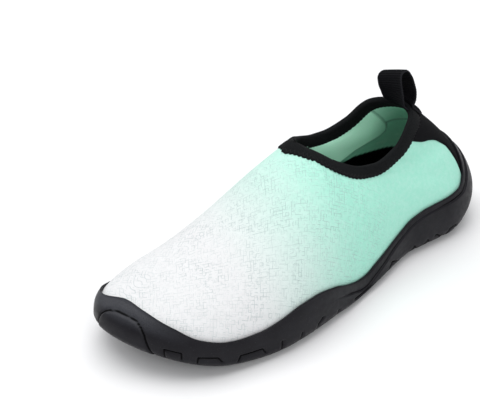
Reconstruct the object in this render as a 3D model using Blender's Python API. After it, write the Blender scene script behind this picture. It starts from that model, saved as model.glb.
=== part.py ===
"""A left water shoe: a stretch-knit upper on a moulded rubber sole that wraps up round it.

The shoe stands on the floor with its toe towards -Y, its outer (lateral) side towards +X and +Z up.
Everything is lofted from one last: a closed surface of two parameters, u round the foot and v up its side.
"""
import bmesh
import bpy
import numpy as np

# Driving sizes, in metres
LAST_LENGTH = 0.262          # heel to toe of the upper's bottom edge
HEEL_OVERHANG = 0.040        # from the origin, under the heel, back to the last's rear end
BALL_WIDTH = 0.090           # of the last, across the ball
HEEL_WIDTH = 0.067           # of the last, across the heel
INSTEP_HEIGHT = 0.0855       # front of the collar above the floor
COLLAR_BACK_HEIGHT = 0.0875  # back of the collar above the floor
COLLAR_DIP = 0.0205          # how far the collar's sides lie below its two ends
COLLAR_WIDTH = 0.049         # widest gap between the collar's sides
COLLAR_LEAN = 0.049          # how far the collar's back lies ahead of the heel
THROAT_SHARE = 0.487         # share of the length, from the heel, where the collar's front lies
TOE_SPRING = 0.017           # lift of the sole's underside at the toe
HEEL_BEVEL = 0.003           # lift of the sole's underside at the back of the heel
ARCH_RAISE = 0.002           # lift of the sole's underside under the waist
FLOOR_THICKNESS = 0.0085     # of the sole under the ball
WALL_RISE = 0.014            # height of the sole's side wall above its floor, beside the heel
WALL_THICKNESS = 0.0042      # of the side wall at its foot
LIP_THICKNESS = 0.0017       # of the side wall's top edge
STEP_DEPTH = 0.0010          # of the side wall's raised panels
EDGE_ROUNDING = 0.0060       # how far the wall draws in at its foot
UPPER_WALL = 0.0018          # knit with its lining
INSOLE_THICKNESS = 0.003
BINDING_WIDTH = 0.0085       # of each leg of the folded collar binding
BINDING_THICKNESS = 0.0008
PATCH_THICKNESS = 0.0008
LOOP_WIDTH = 0.018
LOOP_HEIGHT = 0.020          # above the collar's back
LOOP_DEPTH = 0.014           # front to back, over the webbing
LOOP_LEAN = 0.003            # how far the bow stands ahead of its legs
LOOP_LEG = 0.007             # length of webbing sewn against the binding
WEBBING_THICKNESS = 0.0013
GROOVE_WIDTH = 0.0020
GROOVE_DEPTH = 0.0020
GROOVE_PITCH = 0.0115
FIRST_GROOVE = 0.012         # behind the first one, the heel's edge
GAP = 0.0003                 # clearance between pieces that touch
BINDING_GAP = 0.0004
PATCH_GAP = 0.0005
FRONT_GAP = 0.0006           # added to it towards the collar's front, where the knit is strongly curved

# Places along the length, as shares of it from the heel
HEEL_ROUND = 0.15
TOE_ROUND = 0.16
TOE_FAN = 0.86               # the profiles round the toe all lean to the ridge near here
FAN_SOFTNESS = 0.04
SPRING_START = 0.72
BEVEL_END = 0.06
ARCH_CENTRE = 0.40
ARCH_REACH = 0.11
HEEL_TREAD_END = 0.27
FORE_TREAD_START = 0.53
FORE_TREAD_END = 0.80

THROAT_U = np.arccos(1 - 2 * THROAT_SHARE) / np.pi   # the same place in the round-the-foot parameter
ARCH_MEDIAL = 1.5            # the waist's raise on the inner side, against ARCH_RAISE
ARCH_LATERAL = 0.7           # and on the outer side
RIM_LEAN = 0.62              # radians by which the heel's profile stops short of level at the collar
RIM_ROUND = 0.22             # share of the collar over which its back is rounded
LEVEL_FOOT = 0.08            # the last's normal is level at v = 0 and free from this v on
WALL_TAPER = 1.15            # rate at which the wall thins from its foot to its lip
ROUNDING_RISE = 0.38         # share of the wall's height that its foot's rounding takes
TOE_DROP = 0.32              # share by which the wall is lower on the toe's inner side
TOE_DROP_START = 0.80
TOE_DROP_REACH = 0.5         # of sin(pi u), from the toe's tip to where it is down by the whole of it
LIP_CREST = 0.35             # height of the lip's rounded top / LIP_THICKNESS
FRONT_MITRE = 1.25           # the binding is this much wider at the collar's front point
MITRE_START = 0.86           # share of the way round the collar where its square edge starts to turn ahead
WALK_STEPS = 8

# Counts of columns and rings in the lofts
REAR_COLUMNS = 28
FRONT_COLUMNS = 23
PATCH_COLUMNS = 19
PATCH_SEARCH = 0.3           # the binding's edge over the patch is looked for up to this u
LOOP_COLUMNS = 5
BINDING_EXTRA = 6            # gaps between columns that are halved at the collar's front
UPPER_RINGS = 11
RING_CROWDING = 1.3          # above 1 the rings lie closer towards the collar

# share of length, centre / BALL_WIDTH, half width / HEEL_WIDTH, + half width / BALL_WIDTH,
# floor / FLOOR_THICKNESS, belly / BALL_WIDTH, power of the profile (1 is an ellipse, less is squarer),
# hollow below the collar / BALL_WIDTH
SECTIONS = np.array([
    [0.00, 0.015, 0.520, 0.000, 1.40, 0.022, 1.00, 0.100],
    [0.12, 0.005, 0.500, 0.000, 1.30, 0.024, 1.00, 0.075],
    [0.25, 0.010, 0.460, 0.000, 1.18, 0.032, 1.00, 0.030],
    [0.41, 0.040, 0.250, 0.210, 1.06, 0.034, 0.98, 0.000],
    [0.56, 0.065, 0.000, 0.460, 1.00, 0.034, 0.95, 0.000],
    [0.69, 0.058, 0.000, 0.500, 1.00, 0.032, 0.90, 0.000],
    [0.81, 0.022, 0.000, 0.475, 0.95, 0.026, 0.85, 0.000],
    [0.91, -0.028, 0.000, 0.430, 0.85, 0.018, 0.80, 0.000],
    [1.00, -0.120, 0.000, 0.400, 0.70, 0.010, 0.76, 0.000],
])

# share of length, ridge height / INSTEP_HEIGHT, ridge offset / BALL_WIDTH
RIDGE = np.array([
    [0.40, 1.070, -0.100],
    [0.487, 1.000, -0.110],
    [0.56, 0.905, -0.120],
    [0.69, 0.680, -0.125],
    [0.81, 0.530, -0.128],
    [0.91, 0.460, -0.125],
])

# share of the collar from its back to its front, half width / COLLAR_WIDTH, drop / COLLAR_DIP
RIM = np.array([
    [0.00, 0.38, 0.00],
    [0.12, 0.40, 0.12],
    [0.30, 0.47, 0.67],
    [0.50, 0.50, 0.90],
    [0.62, 0.48, 0.85],
    [0.80, 0.37, 0.53],
    [0.92, 0.20, 0.19],
    [1.00, 0.00, 0.00],
])

# share of length, height of the sole's top edge above its floor / WALL_RISE
WALL_TOP = np.array([
    [0.000, 2.95],
    [0.030, 2.45],
    [0.066, 1.72],
    [0.095, 1.40],
    [0.140, 1.35],
    [0.210, 1.36],
    [0.260, 1.20],
    [0.300, 0.95],
    [0.350, 0.72],
    [0.400, 0.52],
    [0.445, 0.30],
    [0.475, 0.38],
    [0.510, 0.62],
    [0.560, 1.05],
    [0.620, 1.28],
    [0.660, 1.25],
    [0.715, 1.03],
    [0.770, 0.80],
    [0.840, 0.68],
    [0.890, 0.77],
    [0.930, 1.00],
    [0.960, 1.05],
    [1.000, 0.95],
])

# share of length, height of the raised panels' top edge / wall height, depth / STEP_DEPTH
PANELS = np.array([
    [0.00, 0.80, 1.0],
    [0.06, 0.85, 1.0],
    [0.12, 0.87, 1.0],
    [0.20, 0.87, 0.7],
    [0.29, 0.85, 0.8],
    [0.34, 0.82, 0.9],
    [0.38, 0.74, 0.9],
    [0.42, 0.60, 0.8],
    [0.45, 0.50, 0.8],
    [0.51, 0.68, 0.8],
    [0.56, 0.70, 0.0],
    [0.75, 0.50, 0.0],
    [0.93, 0.24, 0.0],
    [0.957, 0.26, 0.9],
    [0.967, 0.58, 0.9],
    [0.980, 0.76, 0.9],
    [1.00, 0.74, 0.9],
])

# share of the heel patch's height, its reach round the foot to either side, in u
PATCH = np.array([
    [0.00, 0.158],
    [0.18, 0.143],
    [0.38, 0.137],
    [0.55, 0.147],
    [0.70, 0.168],
    [0.85, 0.199],
    [1.00, 0.213],
])

# the pull loop's bow from its rear leg over to its front leg: y / LOOP_DEPTH, z / LOOP_HEIGHT
BOW = np.array([
    [0.42, 0.20],
    [0.50, 0.42],
    [0.50, 0.66],
    [0.38, 0.87],
    [0.14, 0.97],
    [-0.14, 0.97],
    [-0.38, 0.87],
    [-0.50, 0.66],
    [-0.50, 0.42],
    [-0.44, 0.20],
])
BOW_FLATTENING = 0.75        # how much less the bow's top curves round the heel than its legs do

# the sole's side: shares of the raised panel's height, then shares of what is left above it
PANEL_RINGS = (0, 0.12, 0.35, 0.7, 1)
PANEL_DEEPEST = 0.3          # share of the panel's height from which it has its full depth
WALL_RINGS = (0.05, 0.3, 0.55, 0.8, 1)


def curve(x, table, column):
    """Smooth line through a table's rows that never swings past them."""
    xs = table[:, 0]
    ys = table[:, column]
    step = np.diff(xs)
    rise = np.diff(ys) / step
    slope = np.zeros(len(xs))
    for i in range(1, len(xs) - 1):
        if rise[i - 1] * rise[i] > 0:
            left = 2 * step[i] + step[i - 1]
            right = step[i] + 2 * step[i - 1]
            slope[i] = (left + right) / (left / rise[i - 1] + right / rise[i])
    slope[0] = rise[0]
    slope[-1] = rise[-1]
    k = np.clip(np.searchsorted(xs, x, side="right") - 1, 0, len(xs) - 2)
    t = np.clip((x - xs[k]) / step[k], 0, 1)
    return (
        (1 + 2 * t) * (1 - t) ** 2 * ys[k]
        + t * (1 - t) ** 2 * step[k] * slope[k]
        + t * t * (3 - 2 * t) * ys[k + 1]
        + t * t * (t - 1) * step[k] * slope[k + 1]
    )


def share_of(u):
    """Share of the length for the round-the-foot parameter: 0 is the heel, 1 and -1 are the toe."""
    return (1 - np.cos(np.pi * u)) / 2


def unit(vectors):
    return vectors / np.linalg.norm(vectors, axis=-1, keepdims=True)


def round_end(share, reach):
    """Half an ellipse: 0 at the end, 1 from the given reach onwards."""
    left = np.clip(1 - share / reach, 0, 1)
    return np.sqrt(1 - left * left)


def length_to_y(share):
    return HEEL_OVERHANG - share * LAST_LENGTH


def spring_lift(share):
    return TOE_SPRING * (np.maximum(share - SPRING_START, 0) / (1 - SPRING_START)) ** 2


def floor_height(share):
    """Top of the sole's floor, which the upper's bottom edge follows."""
    return curve(share, SECTIONS, 4) * FLOOR_THICKNESS + spring_lift(share)


def ground_height(u):
    """Underside of the sole: flat at heel and forefoot, raised at toe, heel edge and waist."""
    share = share_of(u)
    bevel = HEEL_BEVEL * (np.maximum(BEVEL_END - share, 0) / BEVEL_END) ** 2
    arch = np.clip(1 - ((share - ARCH_CENTRE) / ARCH_REACH) ** 2, 0, 1) ** 2
    side = np.where(np.sin(np.pi * u) < 0, ARCH_MEDIAL, ARCH_LATERAL)
    return spring_lift(share) + bevel + ARCH_RAISE * arch * side


def ridge_share(share):
    """Where along the ridge a profile ends: its own share, held back softly at the toe."""
    def held(x):
        return 0.5 * (x + TOE_FAN - np.sqrt((x - TOE_FAN) ** 2 + FAN_SOFTNESS ** 2))
    left_over = (1 - share) / (1 - THROAT_SHARE)
    return held(share) + (THROAT_SHARE - held(THROAT_SHARE)) * left_over


def ridge_height(share):
    return curve(share, RIDGE, 1) * INSTEP_HEIGHT


def last(u, v, lower=0.0):
    """Point of the last's outside: u runs round the foot, v from the bottom edge up to the collar or ridge.

    Each profile is a quarter of an ellipse between its foot and its top, cut off early along the collar,
    with a belly pushed out low down, and a hollow below the collar, along the outline's normal. The values
    of u and v are arrays of one shape.
    """
    side = np.sign(np.sin(np.pi * u))
    share = share_of(u)
    half = curve(share, SECTIONS, 2) * HEEL_WIDTH + curve(share, SECTIONS, 3) * BALL_WIDTH
    ends = round_end(share, HEEL_ROUND) * round_end(1 - share, TOE_ROUND)
    foot_x = curve(share, SECTIONS, 1) * BALL_WIDTH + side * half * ends
    foot_y = length_to_y(share)
    foot_z = floor_height(share)

    along = np.clip(share / THROAT_SHARE, 0, 1)
    rear = share <= THROAT_SHARE
    back_y = HEEL_OVERHANG - COLLAR_LEAN
    rim_y = back_y + (length_to_y(THROAT_SHARE) - back_y) * along
    rim_half = curve(along, RIM, 1) * COLLAR_WIDTH * round_end(along, RIM_ROUND)
    rim_z = COLLAR_BACK_HEIGHT + (INSTEP_HEIGHT - COLLAR_BACK_HEIGHT) * along
    rim_z = rim_z - curve(along, RIM, 2) * COLLAR_DIP
    throat_x = curve(THROAT_SHARE, RIDGE, 2) * BALL_WIDTH
    held = ridge_share(share)
    top_x = np.where(rear, throat_x * along + side * rim_half, curve(held, RIDGE, 2) * BALL_WIDTH)
    top_y = np.where(rear, rim_y, length_to_y(held))
    top_z = np.where(rear, rim_z, ridge_height(held))

    step = 0.001
    fall = (ridge_height(held - step) - ridge_height(held + step)) / (2 * step * LAST_LENGTH)
    fall = np.where(rear, 0, fall)
    end = np.where(rear, np.pi / 2 - RIM_LEAN * (1 - along ** 3), np.pi / 2)
    angle = end * np.clip(v, 0, 1)
    power = curve(share, SECTIONS, 6)
    inward = (1 - np.maximum(np.cos(angle), 0) ** power) / (1 - np.maximum(np.cos(end), 0) ** power)
    upward = (np.sin(angle) / np.sin(end)) ** power
    x = foot_x + (top_x - foot_x) * inward
    y = foot_y + (top_y - foot_y) * inward
    z = foot_z + (top_z - foot_z) * upward + fall * (y - top_y) * upward ** 3

    out_x = side * half * ends / (HEEL_ROUND * LAST_LENGTH)
    out_y = np.clip(1 - share / HEEL_ROUND, 0, 1) - np.clip(1 - (1 - share) / TOE_ROUND, 0, 1)
    size = np.hypot(out_x, out_y)
    swell = curve(share, SECTIONS, 5) * (1 - v) - curve(share, SECTIONS, 7) * v
    swell = swell * BALL_WIDTH * np.sin(np.pi * v)
    return np.stack([x + out_x / size * swell, y + out_y / size * swell, z - lower], -1)


def last_normal(u, v):
    """Outward normal of the last, from small steps in u and v; it is level at the bottom edge."""
    v = np.clip(v, 0.0, 0.99)
    step = 0.002
    low = np.maximum(v - step, 0)
    along = last(u + step, v) - last(u - step, v)
    up = last(u, v + step) - last(u, low)
    normal = np.cross(up, along)
    normal[..., 2] *= np.clip(v / LEVEL_FOOT, 0, 1)
    return unit(normal)


def offset(u, v, distance, lower=0.0):
    """Point at a distance outside the last, or inside it where the distance is negative."""
    u = np.asarray(u, float)
    v = np.broadcast_to(np.asarray(v, float), u.shape)
    normal = last_normal(u, v)
    ridge = (v > 0.999) & (share_of(u) > THROAT_SHARE - 1e-9)
    normal = np.where(ridge[..., None], unit(normal + last_normal(-u, v)), normal)
    return last(u, v, lower) + normal * np.broadcast_to(distance, u.shape)[..., None]


def height_to_v(u, z):
    """The v at which the last reaches a height, by halving."""
    low = np.zeros_like(u)
    high = np.ones_like(u)
    for _ in range(22):
        middle = (low + high) / 2
        below = last(u, middle)[..., 2] < z
        low = np.where(below, middle, low)
        high = np.where(below, high, middle)
    return (low + high) / 2


def closer_at_ends(count):
    """Steps from 0 to 1, half as wide at both ends as on average."""
    even = np.linspace(0, 1, count + 1)
    return even - 0.5 * np.sin(2 * np.pi * even) / (2 * np.pi)


def columns():
    """Values of u round the foot: heel, lateral side, toe and back along the medial side."""
    rear = THROAT_U * closer_at_ends(REAR_COLUMNS)
    front = THROAT_U + (1 - THROAT_U) * closer_at_ends(FRONT_COLUMNS)[1:]
    lateral = np.concatenate([rear, front])
    return np.concatenate([lateral, -lateral[-2:0:-1]])


def strip_faces(first, second, closed=True):
    """Quads between two rows of vertex numbers."""
    count = len(first)
    faces = []
    for k in range(count if closed else count - 1):
        n = (k + 1) % count
        corners = [first[k], first[n], second[n], second[k]]
        face = list(dict.fromkeys(corners))
        if len(face) > 2:
            faces.append(face)
    return faces


def across_faces(ring):
    """Faces that close a ring of columns, lateral side to medial side."""
    count = len(ring)
    half = count // 2
    faces = [[ring[0], ring[1], ring[-1]], [ring[half - 1], ring[half], ring[half + 1]]]
    for k in range(1, half - 1):
        faces.append([ring[k], ring[k + 1], ring[count - k - 1], ring[count - k]])
    return faces


def material(name, colour, roughness):
    made = bpy.data.materials.new(name)
    made.use_nodes = True
    shader = made.node_tree.nodes["Principled BSDF"]
    shader.inputs["Base Color"].default_value = (*colour, 1.0)
    shader.inputs["Roughness"].default_value = roughness
    shader.inputs["Metallic"].default_value = 0.0
    made.diffuse_color = (*colour, 1.0)
    return made


def solid(name, points, faces, look):
    """One closed mesh object with its faces pointing out."""
    mesh = bpy.data.meshes.new(name)
    mesh.from_pydata([tuple(p) for p in points], [], faces)
    shape = bmesh.new()
    shape.from_mesh(mesh)
    bmesh.ops.remove_doubles(shape, verts=shape.verts, dist=1e-6)
    bmesh.ops.recalc_face_normals(shape, faces=shape.faces)
    shape.to_mesh(mesh)
    shape.free()
    mesh.shade_smooth()
    mesh.set_sharp_from_angle(angle=np.radians(40))
    mesh.materials.append(look)
    made = bpy.data.objects.new(name, mesh)
    bpy.context.scene.collection.objects.link(made)
    return made


def loft(rings, closed=True):
    """Vertices and faces of rings of points joined in order."""
    count = len(rings[0])
    points = np.concatenate(rings)
    numbers = np.arange(len(points)).reshape(len(rings), count).tolist()
    faces = []
    for lower, upper in zip(numbers[:-1], numbers[1:]):
        faces += strip_faces(lower, upper, closed)
    return points, faces, numbers


def upper_levels():
    """Values of v where the upper's rings lie; the sole's inner side has its rings at the same places."""
    return 1 - (1 - np.linspace(0, 1, UPPER_RINGS + 1)) ** RING_CROWDING


def make_upper(look):
    """Hollow sock: outer and inner skins, joined round the collar and round the open bottom."""
    u = columns()
    levels = upper_levels()
    outer = [offset(u, v, 0.0) for v in levels]
    inner = [offset(u, v, -UPPER_WALL) for v in levels]
    points, faces, numbers = loft(outer[::-1] + inner)
    rim_outer = numbers[0]
    rim_inner = numbers[-1]
    rear = share_of(u) <= THROAT_SHARE + 1e-9
    count = len(u)
    for k in range(count):
        n = (k + 1) % count
        if rear[k] and rear[n]:
            faces.append([rim_outer[k], rim_outer[n], rim_inner[n], rim_inner[k]])
    return solid("upper", points, faces, look)


def wall_heights(u):
    """Ground, floor and top heights of the sole's side for each column."""
    share = share_of(u)
    ground = ground_height(u)
    floor = floor_height(share)
    inward = np.clip(-np.sin(np.pi * u) / TOE_DROP_REACH, 0, 1)
    drop = TOE_DROP * inward * np.clip((share - TOE_DROP_START) / (1 - TOE_FAN), 0, 1)
    top = floor + curve(share, WALL_TOP, 1) * WALL_RISE * (1 - drop)
    return ground, floor, top


def wall_point(u, rise, extra):
    """Point of the sole's outer side at a share of its height."""
    ground, floor, top = wall_heights(u)
    z = ground + (top - ground) * rise
    v = np.where(z > floor, height_to_v(u, np.maximum(z, floor)), 0)
    lip = GAP + LIP_THICKNESS
    thickness = lip + (WALL_THICKNESS - lip) * np.clip(WALL_TAPER * (1 - rise), 0, 1)
    rounding = EDGE_ROUNDING * np.clip(1 - rise / ROUNDING_RISE, 0, 1) ** 2
    return offset(u, v, thickness - rounding + extra, np.maximum(floor - z, 0))


def make_sole(look):
    """One moulding: floor, side wall, toe bumper, heel counter, raised side panels and tread grooves."""
    u = columns()
    share = share_of(u)
    panel = curve(share, PANELS, 1)
    depth = curve(share, PANELS, 2) * STEP_DEPTH
    rings = [wall_point(u, panel * part, depth * min(1, part / PANEL_DEEPEST)) for part in PANEL_RINGS]
    rings += [wall_point(u, panel + (1 - panel) * part, 0.0) for part in WALL_RINGS]
    _, _, top = wall_heights(u)
    top_v = height_to_v(u, top)
    crest = offset(u, top_v, GAP + LIP_THICKNESS / 2)
    crest[:, 2] += LIP_THICKNESS * LIP_CREST
    rings.append(crest)
    rings += [offset(u, np.minimum(level, top_v), GAP) for level in upper_levels()[::-1]]
    rings.append(offset(u, np.zeros_like(u), GAP, GAP))
    points, faces, numbers = loft(rings)
    faces += across_faces(numbers[0])
    faces += across_faces(numbers[-1])
    sole = solid("sole", points, faces, look)
    cut = sole.modifiers.new("tread", "BOOLEAN")
    cut.operation = "DIFFERENCE"
    cut.solver = "EXACT"
    cut.object = make_groove_cutter()
    return sole


def make_groove_cutter():
    """Bars across the underside of heel and forefoot, joined into one cutter."""
    shape = bmesh.new()
    heel = np.arange(HEEL_OVERHANG - FIRST_GROOVE, length_to_y(HEEL_TREAD_END), -GROOVE_PITCH)
    forefoot = np.arange(length_to_y(FORE_TREAD_START), length_to_y(FORE_TREAD_END), -GROOVE_PITCH)
    for y in np.concatenate([heel, forefoot]):
        bar = bmesh.ops.create_cube(shape, size=1.0)
        bmesh.ops.scale(shape, vec=(2 * BALL_WIDTH, GROOVE_WIDTH, 2 * GROOVE_DEPTH), verts=bar["verts"])
        bmesh.ops.translate(shape, vec=(0, y, 0), verts=bar["verts"])
    mesh = bpy.data.meshes.new("tread_bars")
    shape.to_mesh(mesh)
    shape.free()
    cutter = bpy.data.objects.new("tread_bars", mesh)
    cutter.hide_render = True
    cutter.display_type = "WIRE"
    bpy.context.scene.collection.objects.link(cutter)
    return cutter


def make_insole(look):
    """Flat sheet on the sole's floor, inside the upper's bottom edge."""
    u = columns()
    edge = offset(u, np.zeros_like(u), -(UPPER_WALL + GAP))
    raised = edge + np.array([0, 0, INSOLE_THICKNESS])
    points, faces, numbers = loft([edge, raised])
    faces += across_faces(numbers[0])
    faces += across_faces(numbers[-1])
    return solid("insole", points, faces, look)


def from_rim(u, distance):
    """The u and v at a distance from the collar's edge, reached by a short walk square to that edge.

    At the collar's front point the walk goes ahead along the ridge instead.
    """
    step = 0.004
    first = np.clip(u - step, -THROAT_U, THROAT_U)
    second = np.clip(u + step, -THROAT_U, THROAT_U)
    edge = last(u, np.ones_like(u))
    tangent = unit(last(second, np.ones_like(u)) - last(first, np.ones_like(u)))
    profile = unit(edge - last(u, np.full_like(u, 1 - 5 * step)))
    down = unit(np.sum(profile * tangent, axis=-1, keepdims=True) * tangent - profile)
    front = np.abs(u) > THROAT_U - 1e-6
    ahead = np.array([0.0, -1.0, 0.0])
    turn = np.clip((np.abs(u) / THROAT_U - MITRE_START) / (1 - MITRE_START), 0, 1)[..., None] ** 2
    down = unit(down * (1 - turn) + ahead * turn) * (1 + (FRONT_MITRE - 1) * turn)
    v = np.ones_like(u)
    stride = distance / WALK_STEPS
    for _ in range(WALK_STEPS):
        per_u = (last(u + step, v) - last(u - step, v)) / (2 * step)
        above = np.minimum(v + step, 1)
        per_v = (last(u, above) - last(u, v - step)) / (above - v + step)[..., None]
        uu = np.sum(per_u * per_u, axis=-1)
        uv = np.sum(per_u * per_v, axis=-1)
        vv = np.sum(per_v * per_v, axis=-1)
        along_u = np.sum(per_u * down, axis=-1)
        along_v = np.sum(per_v * down, axis=-1)
        spread = uu * vv - uv * uv
        u = u + stride * (vv * along_u - uv * along_v) / spread
        v = np.minimum(v + stride * (uu * along_v - uv * along_u) / spread, 1)
        v = np.where(front, 1.0, v)
    return u, v


def binding_point(u, distance, out):
    """Point at a distance down from the collar's edge and a height over the knit."""
    placed_u, placed_v = from_rim(u, distance)
    return offset(placed_u, placed_v, out)


def beyond_rim(u, distance, out):
    """Ring of points past the collar's edge, square to the edge and level with the knit there."""
    edge = last(u, np.ones_like(u))
    tangent = np.roll(edge, -1, axis=0) - np.roll(edge, 1, axis=0)
    face = offset(u, np.ones_like(u), 1.0) - edge
    away = unit(np.cross(tangent, face))
    return edge + face * out[:, None] + away * distance[:, None]


def make_binding(look):
    """Folded tape over the collar's edge: a U-shaped section carried round the rim."""
    u = THROAT_U * closer_at_ends(REAR_COLUMNS)
    halfway = (u[-BINDING_EXTRA:] + u[-BINDING_EXTRA - 1:-1]) / 2
    u = np.sort(np.concatenate([u, halfway]))
    u = np.concatenate([u, -u[-2:0:-1]])
    near = BINDING_GAP + FRONT_GAP * np.clip((np.abs(u) / THROAT_U - 0.5) / 0.2, 0, 1)
    far = near + BINDING_THICKNESS
    deep = -(UPPER_WALL + near)
    deeper = -(UPPER_WALL + far)
    flat = np.zeros_like(u)
    inside = flat - UPPER_WALL
    section = [
        (BINDING_WIDTH, far), (BINDING_WIDTH / 2, far), (0, far), (-far, flat), (-far, inside),
        (0, deeper), (BINDING_WIDTH, deeper), (BINDING_WIDTH, deep), (BINDING_WIDTH / 2, deep), (0, deep),
        (-near, inside), (-near, flat), (0, near), (BINDING_WIDTH / 3, near),
        (BINDING_WIDTH * 2 / 3, near), (BINDING_WIDTH, near),
    ]
    rings = []
    for distance, out in section:
        place = beyond_rim if np.any(np.less(distance, 0)) else binding_point
        rings.append(place(u, np.abs(distance), out))
    points, faces, _ = loft(rings + rings[:1])
    return solid("collar_binding", points, faces, look)


def make_heel_patch(look):
    """Black knit on the back, from the sole's heel counter up to the binding, widest below the collar."""
    search = np.linspace(-PATCH_SEARCH, PATCH_SEARCH, REAR_COLUMNS + 1)
    edge_u, edge_v = from_rim(search, BINDING_WIDTH + 2 * GAP)
    rings = []
    for distance in (PATCH_GAP, PATCH_GAP + PATCH_THICKNESS):
        rows = []
        for part, reach in PATCH:
            u = np.linspace(-reach, reach, PATCH_COLUMNS)
            _, _, wall_top = wall_heights(u)
            low = height_to_v(u, wall_top + LIP_THICKNESS + GAP)
            rows.append(offset(u, low + (np.interp(u, edge_u, edge_v) - low) * part, distance))
        rings.append(rows)
    inner, outer = rings
    sections = inner + outer[::-1]
    points = np.concatenate(sections)
    numbers = np.arange(len(points)).reshape(len(sections), len(u)).tolist()
    faces = []
    for first, second in zip(numbers, numbers[1:] + numbers[:1]):
        faces += strip_faces(first, second, closed=False)
    faces.append([row[0] for row in numbers])
    faces.append([row[-1] for row in numbers][::-1])
    return solid("heel_patch", points, faces, look)


def make_pull_loop(look):
    """Webbing loop on the collar's back: one leg outside the binding, one inside, a round bow above."""
    rim_u = np.linspace(-0.2, 0.2, 81)
    rim_x = last(rim_u, np.ones_like(rim_u))[:, 0]
    middle = last(np.zeros(1), np.ones(1))[0]
    cover = BINDING_GAP + BINDING_THICKNESS + GAP
    half = WEBBING_THICKNESS / 2
    bow_y = BOW[:, 0] * (LOOP_DEPTH - WEBBING_THICKNESS) - UPPER_WALL / 2 - LOOP_LEAN * BOW[:, 1]
    bow_z = BOW[:, 1] * LOOP_HEIGHT
    forward = unit(np.gradient(np.stack([bow_y, bow_z], -1), axis=0))
    bend = 1 - BOW_FLATTENING * BOW[:, 1]
    distances = (LOOP_LEG, LOOP_LEG / 2, 0.0)
    rows = []
    for face, order in ((1, 1), (-1, -1)):
        rear = cover + half + face * half
        front = -(UPPER_WALL + cover + half + face * half)
        for x in np.linspace(-0.5, 0.5, LOOP_COLUMNS)[::order] * LOOP_WIDTH:
            u = np.interp([middle[0] + x], rim_x, rim_u)
            behind = last(u, np.ones(1))[0, 1] - middle[1]
            bow_points = np.stack([
                np.full(len(BOW), middle[0] + x),
                middle[1] + bow_y + face * half * forward[:, 1] + bend * behind,
                middle[2] + bow_z - face * half * forward[:, 0],
            ], -1)
            rows.append(np.concatenate(
                [binding_point(u, distance, rear) for distance in distances]
                + [bow_points]
                + [binding_point(u, distance, front) for distance in distances[::-1]]
            ))
    rings = [np.array(ring) for ring in zip(*rows)]
    points, faces, numbers = loft(rings)
    faces.append(numbers[0])
    faces.append(numbers[-1][::-1])
    return solid("pull_loop", points, faces, look)


def main():
    for old in list(bpy.data.objects):
        bpy.data.objects.remove(old, do_unlink=True)
    rubber = material("rubber", (0.030, 0.031, 0.034), 0.55)
    make_sole(rubber)
    make_upper(material("knit", (0.62, 0.86, 0.79), 0.90))
    make_insole(material("insole", (0.020, 0.022, 0.022), 0.90))
    make_binding(material("binding", (0.015, 0.015, 0.017), 0.85))
    make_heel_patch(material("patch", (0.018, 0.018, 0.020), 0.90))
    make_pull_loop(material("webbing", (0.022, 0.022, 0.025), 0.75))


main()
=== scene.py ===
"""Looks of a left water shoe: stretch knit, moulded rubber, bound collar, heel patch and pull loop.

Every piece is a surface of two numbers on the same last that gives the solids their shape: u runs round the
foot (0 at the heel, 1 at the toe along the outer side, negative along the inner side) and v runs up its side.
"""

import bpy
import numpy as np
from mathutils import Matrix


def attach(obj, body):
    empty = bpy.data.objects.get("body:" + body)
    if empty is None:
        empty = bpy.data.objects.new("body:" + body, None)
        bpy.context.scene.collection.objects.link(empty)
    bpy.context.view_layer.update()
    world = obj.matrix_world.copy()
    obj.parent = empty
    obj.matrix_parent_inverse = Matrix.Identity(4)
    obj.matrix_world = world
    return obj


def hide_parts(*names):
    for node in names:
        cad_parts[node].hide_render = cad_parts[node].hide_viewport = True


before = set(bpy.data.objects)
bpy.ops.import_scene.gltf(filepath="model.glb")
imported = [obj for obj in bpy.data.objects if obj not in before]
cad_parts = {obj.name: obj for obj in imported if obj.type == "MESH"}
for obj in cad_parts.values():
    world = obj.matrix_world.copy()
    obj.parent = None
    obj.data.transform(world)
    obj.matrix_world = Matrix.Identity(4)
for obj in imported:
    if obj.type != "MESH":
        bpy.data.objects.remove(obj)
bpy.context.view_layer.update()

# Sizes of the shoe, in metres, as its solids have them
LAST_LENGTH = 0.262
HEEL_OVERHANG = 0.040
BALL_WIDTH = 0.090
HEEL_WIDTH = 0.067
INSTEP_HEIGHT = 0.0855
COLLAR_BACK_HEIGHT = 0.0875
COLLAR_DIP = 0.0205
COLLAR_WIDTH = 0.049
COLLAR_LEAN = 0.049
THROAT_SHARE = 0.487
TOE_SPRING = 0.017
HEEL_BEVEL = 0.003
ARCH_RAISE = 0.002
FLOOR_THICKNESS = 0.0085
WALL_RISE = 0.014
WALL_THICKNESS = 0.0042
LIP_THICKNESS = 0.0017
STEP_DEPTH = 0.0010
EDGE_ROUNDING = 0.0060
UPPER_WALL = 0.0018
INSOLE_THICKNESS = 0.003
BINDING_WIDTH = 0.0085
BINDING_THICKNESS = 0.0008
PATCH_THICKNESS = 0.0008
LOOP_WIDTH = 0.018
LOOP_HEIGHT = 0.020
LOOP_DEPTH = 0.014
LOOP_LEAN = 0.003
LOOP_LEG = 0.007
WEBBING_THICKNESS = 0.0013
GROOVE_WIDTH = 0.0020
GROOVE_DEPTH = 0.0020
GROOVE_PITCH = 0.0115
FIRST_GROOVE = 0.012
GAP = 0.0003

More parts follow.
